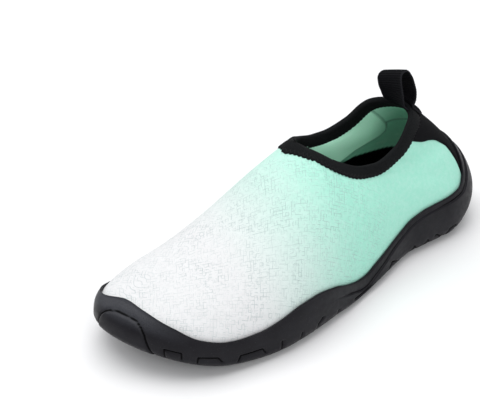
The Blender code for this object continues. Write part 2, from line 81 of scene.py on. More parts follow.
HEEL_ROUND = 0.15
TOE_ROUND = 0.16
TOE_FAN = 0.86
FAN_SOFTNESS = 0.04
SPRING_START = 0.72
BEVEL_END = 0.06
ARCH_CENTRE = 0.40
ARCH_REACH = 0.11
THROAT_U = np.arccos(1 - 2 * THROAT_SHARE) / np.pi
ARCH_MEDIAL = 1.5
ARCH_LATERAL = 0.7
RIM_LEAN = 0.62
RIM_ROUND = 0.22
LEVEL_FOOT = 0.08
WALL_TAPER = 1.15
ROUNDING_RISE = 0.38
HEEL_ROUNDING_RISE = 0.2
HEEL_ROUNDING_MORE = 0.5
HEEL_ROUNDING_FADE = 0.1
TOE_DROP = 0.32
TOE_DROP_START = 0.80
TOE_DROP_REACH = 0.5
TOE_DROP_OVERLAP = 0.25
PATCH_SEARCH = 0.3
LOOP_ROLL = 0.32
LOOP_TWIST = 0.20
BOW_DEPTH = 0.94
BOW_RISE = 1.08
RIB_HEIGHT = 0.00020
RIB_PITCH = 0.0013
SCALLOPS = 96
SCALLOP_DEPTH = 0.0007
SCALLOP_INSET = 0.0003
TAPE_CLEARANCE = 0.00015
FOLD_RISE = 0.0016
STITCH_INSET = 0.0014
STITCH_SWING = 0.0010
THREAD_RADIUS = 0.00022
FRONT_MITRE = 1.25
MITRE_START = 0.86
WALK_STEPS = 8
BOW_FLATTENING = 0.75

# share of length, centre / BALL_WIDTH, half width / HEEL_WIDTH, + half width / BALL_WIDTH,
# floor / FLOOR_THICKNESS, belly / BALL_WIDTH, power of the profile, hollow below the collar / BALL_WIDTH
SECTIONS = np.array([
    [0.00, 0.015, 0.520, 0.000, 1.40, 0.022, 1.00, 0.100],
    [0.12, 0.005, 0.500, 0.000, 1.30, 0.024, 1.00, 0.075],
    [0.25, 0.010, 0.460, 0.000, 1.18, 0.032, 1.00, 0.030],
    [0.41, 0.040, 0.250, 0.210, 1.06, 0.034, 0.98, 0.000],
    [0.56, 0.065, 0.000, 0.460, 1.00, 0.034, 0.95, 0.000],
    [0.69, 0.058, 0.000, 0.500, 1.00, 0.032, 0.90, 0.000],
    [0.81, 0.022, 0.000, 0.475, 0.95, 0.026, 0.85, 0.000],
    [0.91, -0.028, 0.000, 0.430, 0.85, 0.018, 0.80, 0.000],
    [1.00, -0.120, 0.000, 0.400, 0.70, 0.010, 0.76, 0.000],
])
# share of length, ridge height / INSTEP_HEIGHT, ridge offset / BALL_WIDTH
RIDGE = np.array([
    [0.40, 1.070, -0.100],
    [0.487, 1.000, -0.110],
    [0.56, 0.905, -0.120],
    [0.69, 0.680, -0.125],
    [0.81, 0.530, -0.128],
    [0.91, 0.460, -0.125],
])
# share of the collar from back to front, half width / COLLAR_WIDTH, drop / COLLAR_DIP
RIM = np.array([
    [0.00, 0.38, 0.00],
    [0.12, 0.40, 0.12],
    [0.30, 0.47, 0.67],
    [0.50, 0.50, 0.90],
    [0.62, 0.48, 0.85],
    [0.80, 0.37, 0.53],
    [0.92, 0.20, 0.19],
    [1.00, 0.00, 0.00],
])
# share of length, height of the sole's top edge above its floor / WALL_RISE
WALL_TOP = np.array([
    [0.000, 2.95], [0.030, 2.45], [0.066, 1.72], [0.095, 1.40], [0.140, 1.35],
    [0.210, 1.36], [0.260, 1.20], [0.300, 0.95], [0.350, 0.72], [0.400, 0.52],
    [0.445, 0.30], [0.475, 0.38], [0.510, 0.62], [0.560, 1.05], [0.620, 1.28],
    [0.660, 1.25], [0.715, 1.03], [0.770, 0.80], [0.840, 0.68], [0.890, 0.77],
    [0.930, 1.00], [0.960, 1.05], [1.000, 0.95],
])
# share of the heel patch's height, its reach round the foot to either side, in u
PATCH = np.array([
    [0.00, 0.158], [0.18, 0.143], [0.38, 0.137], [0.55, 0.147],
    [0.70, 0.168], [0.85, 0.199], [1.00, 0.213],
])

# share of the collar from its back to its front, width of the tape's outer leg / BINDING_WIDTH
TAPE_WIDTHS = np.array([
    [0.00, 0.98], [0.18, 0.92], [0.38, 0.74], [0.58, 0.71],
    [0.72, 0.85], [0.86, 1.00], [1.00, 0.88],
])

# section of one leg of the tape: share of its width from the rim, thickness / BINDING_THICKNESS
TAPE_SECTION = np.array([
    [1.00, 0.10], [0.965, 0.55], [0.90, 0.72], [0.80, 0.78], [0.68, 0.95],
    [0.55, 1.12], [0.42, 1.22], [0.30, 1.25], [0.18, 1.22], [0.08, 1.15],
])

# the pull loop's bow from its rear leg over to its front leg: y / LOOP_DEPTH, z / LOOP_HEIGHT
BOW = np.array([
    [0.42, 0.20], [0.50, 0.42], [0.50, 0.66], [0.38, 0.87], [0.14, 0.97],
    [-0.14, 0.97], [-0.38, 0.87], [-0.50, 0.66], [-0.50, 0.42], [-0.44, 0.20],
])

# Details of the sole's side. Places run round the sole as c: 0 heel, 1 toe, 2 the heel again.
# share of length, height of the lip's lower line / wall height, depth of its groove / LINE_DEPTH
LIP_LINE = np.array([
    [0.00, 0.84, 1.0], [0.06, 0.89, 1.0], [0.12, 0.91, 1.0], [0.20, 0.91, 0.5],
    [0.29, 0.89, 0.7], [0.34, 0.85, 1.0], [0.38, 0.74, 1.0], [0.42, 0.60, 1.0],
    [0.45, 0.50, 0.9], [0.51, 0.68, 0.8], [0.56, 0.70, 0.1], [0.62, 0.70, 0.0],
    [1.00, 0.70, 0.0],
])
LINE_DEPTH = 0.0006
LINE_WIDTH = 0.0006
# c, height / wall height of the groove round the toe panel
TOE_LINE = np.array([
    [0.866, 0.02], [0.871, 0.20], [0.878, 0.42], [0.885, 0.66], [0.892, 0.77],
    [0.903, 0.84], [0.925, 0.87], [0.957, 0.86], [0.983, 0.83], [0.997, 0.78],
    [1.008, 0.68], [1.014, 0.52], [1.018, 0.32], [1.021, 0.04],
])
# cuts in the sole's side, each a path of places c, height / wall height
SIDE_CUTS = (
    ((0.848, 0.48), (0.848, 0.22)),
    ((0.846, 0.48), (0.818, 0.50), (0.818, 0.30)),
    ((0.792, 0.26), (0.790, 0.48), (0.757, 0.53), (0.751, 0.38)),
    ((0.723, 0.30), (0.718, 0.50), (0.680, 0.51), (0.675, 0.34)),
    ((0.647, 0.24), (0.646, 0.48)),
    ((0.612, 0.12), (0.611, 0.38)),
    ((0.580, 0.10), (0.579, 0.34), (0.570, 0.43)),
    ((0.538, 0.08), (0.536, 0.34)),
    ((0.500, 0.38), (0.460, 0.36)),
    ((0.420, 0.24), (0.405, 0.46), (0.388, 0.26)),
    ((0.352, 0.06), (0.340, 0.28), (0.328, 0.08)),
    ((0.316, 0.04), (0.308, 0.26), (0.296, 0.06)),
    ((0.290, 0.28), (0.286, 0.28), (0.262, 0.07)),
    ((0.258, 0.04), (0.250, 0.28), (0.233, 0.30), (0.223, 0.12)),
    ((0.206, 0.04), (0.196, 0.28), (0.176, 0.28), (0.166, 0.07)),
)
CUT_DEPTH = 0.0010
CUT_WIDTH = 0.00075

# the knit's rows run aslant round the shoe by this angle
KNIT_BIAS = np.radians(35)

# the lining: u, v of its side panel's lower edge, v, u of the panel's rear edge, u, v of its dark foot's top
PANEL_LOW = np.array([
    [0.18, 0.62], [0.20, 0.54], [0.22, 0.52], [0.26, 0.52], [0.30, 0.51], [0.34, 0.46], [0.40, 0.44],
])
PANEL_REAR = np.array([
    [0.50, 0.225], [0.525, 0.203], [0.56, 0.193], [0.63, 0.187],
])
FOOT_EDGE = np.array([
    [0.10, 0.26], [0.177, 0.275], [0.217, 0.325], [0.26, 0.38],
    [0.30, 0.43], [0.34, 0.445], [0.42, 0.42],
])
# y, x of the groove that splits the tread lengthwise
TREAD_SPINE = np.array([[-0.16, -0.004], [-0.08, 0.006], [0.0, 0.0]])
HEEL_TREAD_END = 0.285
FORE_TREAD_START = 0.515
FIRST_FORE_GROOVE = 0.53
TREAD_WAVE = 0.0022
TREAD_WAVE_LENGTH = 0.021
LINE_BAND = 0.045
HEEL_PANEL_U = 0.187
HEEL_PANEL_V = 0.640
HEEL_PANEL_SHARE = 0.62
PANEL_STEP = 0.0005
SEAM_DEPTH = 0.0004
LINING_FREE_V = 0.80

# soft troughs and ridges of the knit: from u, v, to u, v, width, depth (below 0 stands out)
CREASES = np.array([
    [0.216, 0.80, 0.262, 0.715, 0.0064, 0.0034],
    [0.160, 0.67, 0.225, 0.615, 0.0034, 0.0008],
    [0.330, 0.86, 0.262, 0.60, 0.0075, 0.0013],
    [0.262, 0.60, 0.235, 0.42, 0.0080, 0.0005],
    [0.300, 0.60, 0.270, 0.36, 0.0085, -0.0006],
    [0.445, 0.82, 0.530, 0.60, 0.0080, 0.0006],
    [0.470, 0.55, 0.560, 0.42, 0.0090, 0.0004],
    [0.560, 0.88, 0.630, 0.70, 0.0100, 0.0005],
    [0.720, 0.36, 0.790, 0.42, 0.0070, 0.0004],
    [-0.330, 0.86, -0.262, 0.60, 0.0075, 0.0012],
    [-0.440, 0.80, -0.520, 0.55, 0.0080, 0.0007],
    [-0.300, 0.60, -0.270, 0.36, 0.0085, -0.0006],
    [-0.600, 0.55, -0.680, 0.45, 0.0085, 0.0005],
])


def curve(x, table, column):
    """Smooth line through a table's rows that never swings past them."""
    xs = table[:, 0]
    ys = table[:, column]
    step = np.diff(xs)
    rise = np.diff(ys) / step
    slope = np.zeros(len(xs))
    for i in range(1, len(xs) - 1):
        if rise[i - 1] * rise[i] > 0:
            left = 2 * step[i] + step[i - 1]
            right = step[i] + 2 * step[i - 1]
            slope[i] = (left + right) / (left / rise[i - 1] + right / rise[i])
    slope[0] = rise[0]
    slope[-1] = rise[-1]
    k = np.clip(np.searchsorted(xs, x, side="right") - 1, 0, len(xs) - 2)
    t = np.clip((x - xs[k]) / step[k], 0, 1)
    return (
        (1 + 2 * t) * (1 - t) ** 2 * ys[k]
        + t * (1 - t) ** 2 * step[k] * slope[k]
        + t * t * (3 - 2 * t) * ys[k + 1]
        + t * t * (t - 1) * step[k] * slope[k + 1]
    )


def facing(place, right, up, back):
    """Object matrix of a camera or lamp that looks against its back vector."""
    rows = np.stack([right, up, back, place], 1).tolist()
    return Matrix(rows + [[0.0, 0.0, 0.0, 1.0]])


def straight(x, table):
    """Straight lines through a table's rows of two numbers."""
    return np.interp(x, table[:, 0], table[:, 1])


def smooth_step(x):
    """3 x^2 - 2 x^3, held between 0 and 1."""
    x = np.clip(x, 0, 1)
    return x * x * (3 - 2 * x)


def edge_step(distance, width):
    """0 on one side of a soft edge and 1 on the other, over its width."""
    return smooth_step(distance / width + 0.5)


def groove(distance, width):
    """Share of a soft groove's depth: exp(-(distance / width)^2)."""
    return np.exp(-(distance / width) ** 2)


def unit(vectors):
    return vectors / np.linalg.norm(vectors, axis=-1, keepdims=True)


def share_of(u):
    """Share of the length at u: (1 - cos(pi u)) / 2."""
    return (1 - np.cos(np.pi * u)) / 2


def round_end(share, reach):
    """Half an ellipse: 0 at the end, 1 from the given reach onwards."""
    left = np.clip(1 - share / reach, 0, 1)
    return np.sqrt(1 - left * left)


def length_to_y(share):
    return HEEL_OVERHANG - share * LAST_LENGTH


def spring_lift(share):
    return TOE_SPRING * (np.maximum(share - SPRING_START, 0) / (1 - SPRING_START)) ** 2


def floor_height(share):
    return curve(share, SECTIONS, 4) * FLOOR_THICKNESS + spring_lift(share)


def ground_height(u):
    """Underside of the sole: flat at heel and forefoot, raised at toe, heel edge and waist."""
    share = share_of(u)
    bevel = HEEL_BEVEL * (np.maximum(BEVEL_END - share, 0) / BEVEL_END) ** 2
    arch = np.clip(1 - ((share - ARCH_CENTRE) / ARCH_REACH) ** 2, 0, 1) ** 2
    side = np.where(np.sin(np.pi * u) < 0, ARCH_MEDIAL, ARCH_LATERAL)
    return spring_lift(share) + bevel + ARCH_RAISE * arch * side


def ridge_share(share):
    """Where along the ridge a profile ends: its own share, held back softly at the toe."""
    def held(x):
        return 0.5 * (x + TOE_FAN - np.sqrt((x - TOE_FAN) ** 2 + FAN_SOFTNESS ** 2))
    left_over = (1 - share) / (1 - THROAT_SHARE)
    return held(share) + (THROAT_SHARE - held(THROAT_SHARE)) * left_over


def ridge_height(share):
    """Height of the last's ridge."""
    return curve(share, RIDGE, 1) * INSTEP_HEIGHT


def last(u, v, lower=0.0):
    """Point of the last's outside.

    Each profile is a quarter of an ellipse between its foot and its top, cut off early along the collar,
    with a belly pushed out low down, and a hollow below the collar, along the outline's normal.
    """
    side = np.sign(np.sin(np.pi * u))
    share = share_of(u)
    half = curve(share, SECTIONS, 2) * HEEL_WIDTH + curve(share, SECTIONS, 3) * BALL_WIDTH
    ends = round_end(share, HEEL_ROUND) * round_end(1 - share, TOE_ROUND)
    foot_x = curve(share, SECTIONS, 1) * BALL_WIDTH + side * half * ends
    foot_y = length_to_y(share)
    foot_z = floor_height(share)

    along = np.clip(share / THROAT_SHARE, 0, 1)
    rear = share <= THROAT_SHARE
    back_y = HEEL_OVERHANG - COLLAR_LEAN
    rim_y = back_y + (length_to_y(THROAT_SHARE) - back_y) * along
    rim_half = curve(along, RIM, 1) * COLLAR_WIDTH * round_end(along, RIM_ROUND)
    rim_z = COLLAR_BACK_HEIGHT + (INSTEP_HEIGHT - COLLAR_BACK_HEIGHT) * along
    rim_z = rim_z - curve(along, RIM, 2) * COLLAR_DIP
    throat_x = curve(THROAT_SHARE, RIDGE, 2) * BALL_WIDTH
    held = ridge_share(share)
    top_x = np.where(rear, throat_x * along + side * rim_half, curve(held, RIDGE, 2) * BALL_WIDTH)
    top_y = np.where(rear, rim_y, length_to_y(held))
    top_z = np.where(rear, rim_z, ridge_height(held))

    step = 0.001
    fall = (ridge_height(held - step) - ridge_height(held + step)) / (2 * step * LAST_LENGTH)
    fall = np.where(rear, 0, fall)
    end = np.where(rear, np.pi / 2 - RIM_LEAN * (1 - along ** 3), np.pi / 2)
    angle = end * np.clip(v, 0, 1)
    power = curve(share, SECTIONS, 6)
    inward = (1 - np.maximum(np.cos(angle), 0) ** power) / (1 - np.maximum(np.cos(end), 0) ** power)
    upward = (np.sin(angle) / np.sin(end)) ** power
    x = foot_x + (top_x - foot_x) * inward
    y = foot_y + (top_y - foot_y) * inward
    z = foot_z + (top_z - foot_z) * upward + fall * (y - top_y) * upward ** 3

    out_x = side * half * ends / (HEEL_ROUND * LAST_LENGTH)
    out_y = np.clip(1 - share / HEEL_ROUND, 0, 1) - np.clip(1 - (1 - share) / TOE_ROUND, 0, 1)
    size = np.hypot(out_x, out_y)
    swell = curve(share, SECTIONS, 5) * (1 - v) - curve(share, SECTIONS, 7) * v
    swell = swell * BALL_WIDTH * np.sin(np.pi * v)
    return np.stack([x + out_x / size * swell, y + out_y / size * swell, z - lower], -1)


def last_normal(u, v):
    """Outward normal of the last, from small steps in u and v; it is level at the bottom edge."""
    v = np.clip(v, 0.0, 0.99)
    step = 0.002
    low = np.maximum(v - step, 0)
    along = last(u + step, v) - last(u - step, v)
    up = last(u, v + step) - last(u, low)
    normal = np.cross(up, along)
    normal[..., 2] *= np.clip(v / LEVEL_FOOT, 0, 1)
    return unit(normal)


def skin_normal(u, v):
    """The last's normal, shared by both sides along the ridge."""
    normal = last_normal(u, v)
    ridge = (v > 0.999) & (share_of(u) > THROAT_SHARE - 1e-9)
    return np.where(ridge[..., None], unit(normal + last_normal(-u, v)), normal)


def offset(u, v, distance, lower=0.0):
    """Point at a distance outside the last, or inside it where the distance is negative."""
    u = np.asarray(u, float)
    v = np.broadcast_to(np.asarray(v, float), u.shape)
    return last(u, v, lower) + skin_normal(u, v) * np.broadcast_to(distance, u.shape)[..., None]


def height_to_v(u, z):
    """The v at which the last reaches a height, by halving."""
    low = np.zeros_like(u)
    high = np.ones_like(u)
    for _ in range(18):
        middle = (low + high) / 2
        below = last(u, middle)[..., 2] < z
        low = np.where(below, middle, low)
        high = np.where(below, high, middle)
    return (low + high) / 2


def wall_heights(u):
    """Ground, floor and top heights of the sole's side."""
    share = share_of(u)
    ground = ground_height(u)
    floor = floor_height(share)
    inward = smooth_step((TOE_DROP_OVERLAP - np.sin(np.pi * u)) / (TOE_DROP_OVERLAP + TOE_DROP_REACH))
    drop = TOE_DROP * inward * smooth_step((share - TOE_DROP_START) / (1 - TOE_FAN))
    return ground, floor, floor + curve(share, WALL_TOP, 1) * WALL_RISE * (1 - drop)


def wall_point(u, rise, extra):
    """Point of the sole's outer side at a share of its height, standing out by extra."""
    ground, floor, top = wall_heights(u)
    z = ground + (top - ground) * rise
    v = np.where(z > floor, height_to_v(u, np.maximum(z, floor)), 0)
    lip = GAP + LIP_THICKNESS
    thickness = lip + (WALL_THICKNESS - lip) * np.clip(WALL_TAPER * (1 - rise), 0, 1)
    behind = smooth_step((HEEL_ROUND - share_of(u)) / HEEL_ROUNDING_FADE)
    taken = ROUNDING_RISE + HEEL_ROUNDING_RISE * behind
    rounding = EDGE_ROUNDING * (1 + HEEL_ROUNDING_MORE * behind) * np.clip(1 - rise / taken, 0, 1) ** 2
    return offset(u, v, thickness - rounding + extra, np.maximum(floor - z, 0))


def from_rim(u, distance):
    """The u and v at a distance from the collar's edge, reached by a short walk square to that edge.

    Towards the collar's front point the walk turns to go ahead along the ridge.
    """
    step = 0.004
    first = np.clip(u - step, -THROAT_U, THROAT_U)
    second = np.clip(u + step, -THROAT_U, THROAT_U)
    edge = last(u, np.ones_like(u))
    tangent = unit(last(second, np.ones_like(u)) - last(first, np.ones_like(u)))
    profile = unit(edge - last(u, np.full_like(u, 1 - 5 * step)))
    down = unit(np.sum(profile * tangent, axis=-1, keepdims=True) * tangent - profile)
    front = np.abs(u) > THROAT_U - 1e-6
    ahead = np.array([0.0, -1.0, 0.0])
    turn = np.clip((np.abs(u) / THROAT_U - MITRE_START) / (1 - MITRE_START), 0, 1)[..., None] ** 2
    down = unit(down * (1 - turn) + ahead * turn) * (1 + (FRONT_MITRE - 1) * turn)
    v = np.ones_like(u)
    stride = distance / WALK_STEPS
    for _ in range(WALK_STEPS):
        above = np.minimum(v + step, 1)
        per_u = (last(u + step, v) - last(u - step, v)) / (2 * step)
        per_v = (last(u, above) - last(u, v - step)) / (above - v + step)[..., None]
        uu = np.sum(per_u * per_u, axis=-1)
        uv = np.sum(per_u * per_v, axis=-1)
        vv = np.sum(per_v * per_v, axis=-1)
        along_u = np.sum(per_u * down, axis=-1)
        along_v = np.sum(per_v * down, axis=-1)
        spread = uu * vv - uv * uv
        u = u + stride * (vv * along_u - uv * along_v) / spread
        v = np.minimum(v + stride * (uu * along_v - uv * along_u) / spread, 1)
        v = np.where(front, 1.0, v)
    return u, v


def binding_point(u, distance, out):
    """Point at a distance from the collar's edge, standing out of the last."""
    placed_u, placed_v = from_rim(u, distance)
    return offset(placed_u, placed_v, out)


def round_columns(rear, front):
    """u round the whole foot, once: heel, outer side, toe, inner side."""
    lateral = np.concatenate([
        THROAT_U * np.linspace(0, 1, rear + 1),
        THROAT_U + (1 - THROAT_U) * np.linspace(0, 1, front + 1)[1:],
    ])
    return np.concatenate([lateral, -lateral[-2:0:-1]])


def band_quads(rows, count, closed=True):
    """Corner numbers of the quads between rows of points; the last column meets the first if closed."""
    row = np.arange(rows - 1)[:, None] * count
    column = np.arange(count if closed else count - 1)[None, :]
    after = (column + 1) % count
    quads = np.stack([row + column, row + after, row + count + after, row + count + column], -1)
    return quads.reshape(-1, 4)


def band_uv(s, t):
    """UV of each corner of a closed band's quads, from grids that hold the seam's column twice."""
    grid = np.stack(np.broadcast_arrays(s, t), -1)
    return np.stack([grid[:-1, :-1], grid[:-1, 1:], grid[1:, 1:], grid[1:, :-1]], -2).reshape(-1, 4, 2)


def strip_faces(rows, count):
    """Faces of a closed flat strip: its band, the quads from the last row to the first, and its two ends."""
    quads = band_quads(rows, count, closed=False)
    final = (rows - 1) * count
    column = np.arange(count - 1)
    close = np.stack([final + column, final + column + 1, column + 1, column], -1)
    first = [row * count for row in range(rows)]
    return np.concatenate([quads, close]).tolist() + [first, [k + count - 1 for k in first][::-1]]


def fill_ring(ring, base, start, steps, relief):
    """Net across a closed ring, straight from its outer side to its inner side: new points and quads.

    base numbers the ring's first point and start the first new one; relief gives each point's rise.
    """
    count = len(ring)
    half = count // 2
    share = np.linspace(0, 1, steps + 1)
    lateral = ring[:half + 1]
    medial = ring[(count - np.arange(half + 1)) % count]
    across = lateral[:, None] + (medial - lateral)[:, None] * share[None, :, None]
    across[..., 2] += relief(across, share)
    numbers = np.zeros((half + 1, steps + 1), int)
    numbers[:, 0] = base + np.arange(half + 1)
    numbers[:, -1] = base + (count - np.arange(half + 1)) % count
    numbers[0] = base
    numbers[half] = base + half
    numbers[1:half, 1:steps] = np.arange((half - 1) * (steps - 1)).reshape(half - 1, -1) + start
    quads = np.stack([numbers[:-1, :-1], numbers[:-1, 1:], numbers[1:, 1:], numbers[1:, :-1]], -1)
    return across[1:half, 1:steps].reshape(-1, 3), quads.reshape(-1, 4)


def arc_lengths(points, axis):
    """Distance walked along one axis of a grid of points."""
    steps = np.linalg.norm(np.diff(points, axis=axis), axis=-1)
    start = np.zeros_like(np.take(steps, [0], axis=axis))
    return np.concatenate([start, np.cumsum(steps, axis=axis)], axis=axis)


def segment_distance(s, h, line):
    """Distance from points (s, h) to a straight line, and the share of the way along it."""
    start = np.array(line[:2])
    way = np.array(line[2:4]) - start
    share = ((s - start[0]) * way[0] + (h - start[1]) * way[1]) / (way @ way)
    share = np.clip(share, 0, 1)
    return np.hypot(s - start[0] - share * way[0], h - start[1] - share * way[1]), share


def make_piece(name, points, faces, looks, look_of_face=None, uv=None, attributes=None):
    """Mesh object at the origin from points and faces, turned to face outwards.

    uv holds one pair of numbers for each corner of each face; attributes hold one number for each point.
    """
    if isinstance(faces, np.ndarray):
        faces = faces.tolist()
    corners = [[c for i, c in enumerate(face) if c != face[i - 1]] for face in faces]
    keep = [i for i, face in enumerate(corners) if len(set(face)) > 2]
    if uv is not None:
        kept_uv = []
        for i in keep:
            kept_uv += [uv[i][j] for j, c in enumerate(faces[i]) if c != faces[i][j - 1]]
    corners = [corners[i] for i in keep]
    points = np.asarray(points, float)
    fan = np.array([[f[0], f[j], f[j + 1]] for f in corners for j in range(1, len(f) - 1)])
    a, b, c = points[fan[:, 0]], points[fan[:, 1]], points[fan[:, 2]]
    inside_out = np.sum(a * np.cross(b, c)) < 0
    mesh = bpy.data.meshes.new(name)
    if inside_out:
        corners = [face[::-1] for face in corners]
    mesh.from_pydata(points.tolist(), [], corners)
    if uv is not None:
        layer = mesh.uv_layers.new(name="surface")
        flat = np.array(kept_uv, float)
        if inside_out:
            starts = np.cumsum([0] + [len(face) for face in corners])
            order = np.concatenate([np.arange(q - 1, p - 1, -1) for p, q in zip(starts[:-1], starts[1:])])
            flat = flat[order]
        layer.data.foreach_set("uv", flat.ravel())
    for look in looks:
        mesh.materials.append(look)
    if look_of_face is not None:
        mesh.polygons.foreach_set("material_index", np.asarray(look_of_face)[keep])
    for key, values in (attributes or {}).items():
        layer = mesh.attributes.new(key, "FLOAT", "POINT")
        layer.data.foreach_set("value", np.asarray(values, float))
    mesh.shade_smooth()
    mesh.update()
    made = bpy.data.objects.new(name, mesh)
    bpy.context.scene.collection.objects.link(made)
    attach(made, "root")
    return made


class Look:
    """A material built from nodes, with short calls for the usual ones."""

    def __init__(self, name):
        self.material = bpy.data.materials.new(name)
        self.material.use_nodes = True
        self.tree = self.material.node_tree
        self.shader = self.tree.nodes["Principled BSDF"]

    def node(self, kind, inputs=None, **settings):
        made = self.tree.nodes.new(kind)
        for key, value in settings.items():
            setattr(made, key, value)
        for key, value in (inputs or {}).items():
            self.feed(made.inputs[key], value)
        return made

    def feed(self, socket, value):
        if isinstance(value, bpy.types.NodeSocket):
            self.tree.links.new(value, socket)
        else:
            socket.default_value = value

    def sum(self, operation, a, b=0.0, c=0.0):
        made = self.node("ShaderNodeMath", operation=operation)
        for socket, value in zip(made.inputs, (a, b, c)):
            self.feed(socket, value)
        return made.outputs[0]

    def vector(self, operation, a, b=None):
        made = self.node("ShaderNodeVectorMath", {0: a}, operation=operation)
        if b is not None:
            self.feed(made.inputs["Scale" if operation == "SCALE" else 1], b)
        return made.outputs[0]

    def attribute(self, name):
        return self.node("ShaderNodeAttribute", attribute_name=name).outputs["Fac"]

    def place(self):
        return self.node("ShaderNodeTexCoord").outputs["Object"]

    def surface(self):
        return self.node("ShaderNodeUVMap", uv_map="surface").outputs["UV"]

    def parts(self, vector):
        return self.node("ShaderNodeSeparateXYZ", {0: vector}).outputs

    def noise(self, vector, scale, detail=2.0, output="Fac"):
        made = self.node("ShaderNodeTexNoise", {"Vector": vector, "Scale": scale, "Detail": detail})
        return made.outputs[output]

    def stretch(self, vector, scale):
        return self.node("ShaderNodeMapping", {"Vector": vector, "Scale": scale}).outputs[0]

    def remap(self, value, low, high, to_low=0.0, to_high=1.0):
        made = self.node("ShaderNodeMapRange", {
            "Value": value, "From Min": low, "From Max": high, "To Min": to_low, "To Max": to_high,
        }, interpolation_type="SMOOTHSTEP")
        return made.outputs["Result"]

    def blend(self, share, first, second):
        made = self.node("ShaderNodeMix", data_type="RGBA")
        self.feed(made.inputs["Factor"], share)
        for key, value in ((6, first), (7, second)):
            if isinstance(value, tuple):
                value = (*value, 1.0)
            self.feed(made.inputs[key], value)
        return made.outputs[2]

    def bump(self, height, strength, distance, before=None):
        made = self.node("ShaderNodeBump", {"Height": height, "Strength": strength, "Distance": distance})
        if before is not None:
            self.feed(made.inputs["Normal"], before)
        return made.outputs["Normal"]

    def finish(self, colour, roughness, normal=None, **plain):
        if isinstance(colour, tuple):
            colour = (*colour, 1.0)
        self.feed(self.shader.inputs["Base Color"], colour)
        self.feed(self.shader.inputs["Roughness"], roughness)
        if normal is not None:
            self.feed(self.shader.inputs["Normal"], normal)
        for key, value in plain.items():
            self.shader.inputs[key.replace("_", " ")].default_value = value
        return self.material


def maze(look, vector, pitch, chance, width, warp):
    """Short level and upright lines on a square net: each cell edge is drawn or not by chance."""
    bend = look.noise(vector, 1 / (pitch * 5), 1.0, "Color")
    bent = look.vector("SCALE", look.vector("SUBTRACT", bend, (0.5, 0.5, 0.5)), pitch * warp)
    net = look.vector("SCALE", look.vector("ADD", vector, bent), 1 / pitch)
    draw = look.node("ShaderNodeTexWhiteNoise", {"Vector": look.vector("FLOOR", net)}, noise_dimensions="2D")
    random = look.parts(draw.outputs["Color"])
    across = look.parts(look.vector("FRACTION", net))
    lines = 0.0
    for axis in (0, 1):
        near = look.remap(across[axis], 0.0, width, 1.0, 0.0)
        there = look.sum("LESS_THAN", random[axis], chance)
        lines = look.sum("MAXIMUM", lines, look.sum("MULTIPLY", near, there))
    return lines


def knit_look():
    """Stretch knit: white at the toe, mint at the collar and heel, with a fine broken net of grooves."""
    look = Look("knit")
    place = look.place()
    surface = look.surface()
    where = look.parts(place)
    drift = look.noise(place, 26.0)
    along = look.sum("MULTIPLY_ADD", where[0], 0.10, where[1])
    along = look.sum("MULTIPLY_ADD", drift, 0.012, along)
    fade = look.remap(along, -0.156, -0.062)
    colour = look.blend(fade, (0.740, 0.742, 0.748), (0.374, 0.795, 0.645))
    coarse = maze(look, surface, 0.0018, 0.36, 0.20, 0.9)
    fine = maze(look, surface, 0.0011, 0.34, 0.26, 0.9)
    patches = look.remap(look.noise(place, 55.0), 0.40, 0.62)
    rearward = look.remap(where[1], -0.075, -0.030, 1.0, 0.12)
    presence = look.sum("MULTIPLY", look.sum("MULTIPLY_ADD", patches, 0.45, 0.55), rearward)
    lines = look.sum("MULTIPLY", look.sum("MAXIMUM", coarse, look.sum("MULTIPLY", fine, 0.6)), presence)
    colour = look.blend(look.sum("MULTIPLY", lines, 0.76), colour, (0.28, 0.38, 0.38))
    mottle = look.noise(place, 420.0)
    colour = look.blend(look.remap(mottle, 0.35, 0.75, 0.0, 0.10), colour, (0.95, 1.0, 1.0))
    courses = look.node("ShaderNodeTexWave", {
        "Vector": surface, "Scale": 190.0, "Distortion": 3.0, "Detail": 2.0, "Detail Scale": 2.0,
    }, bands_direction="Y")
    yarn = look.noise(look.stretch(surface, (1400.0, 2600.0, 1.0)), 1.0, 1.0)
    height = look.sum("MULTIPLY_ADD", lines, -1.0, 1.0)
    normal = look.bump(courses.outputs["Fac"], 0.10, 0.00025)
    normal = look.bump(yarn, 0.22, 0.00012, normal)
    normal = look.bump(height, 0.55, 0.00022, normal)
    return look.finish(colour, 0.82, normal, Sheen_Weight=0.12, Sheen_Roughness=0.5, Specular_IOR_Level=0.25)


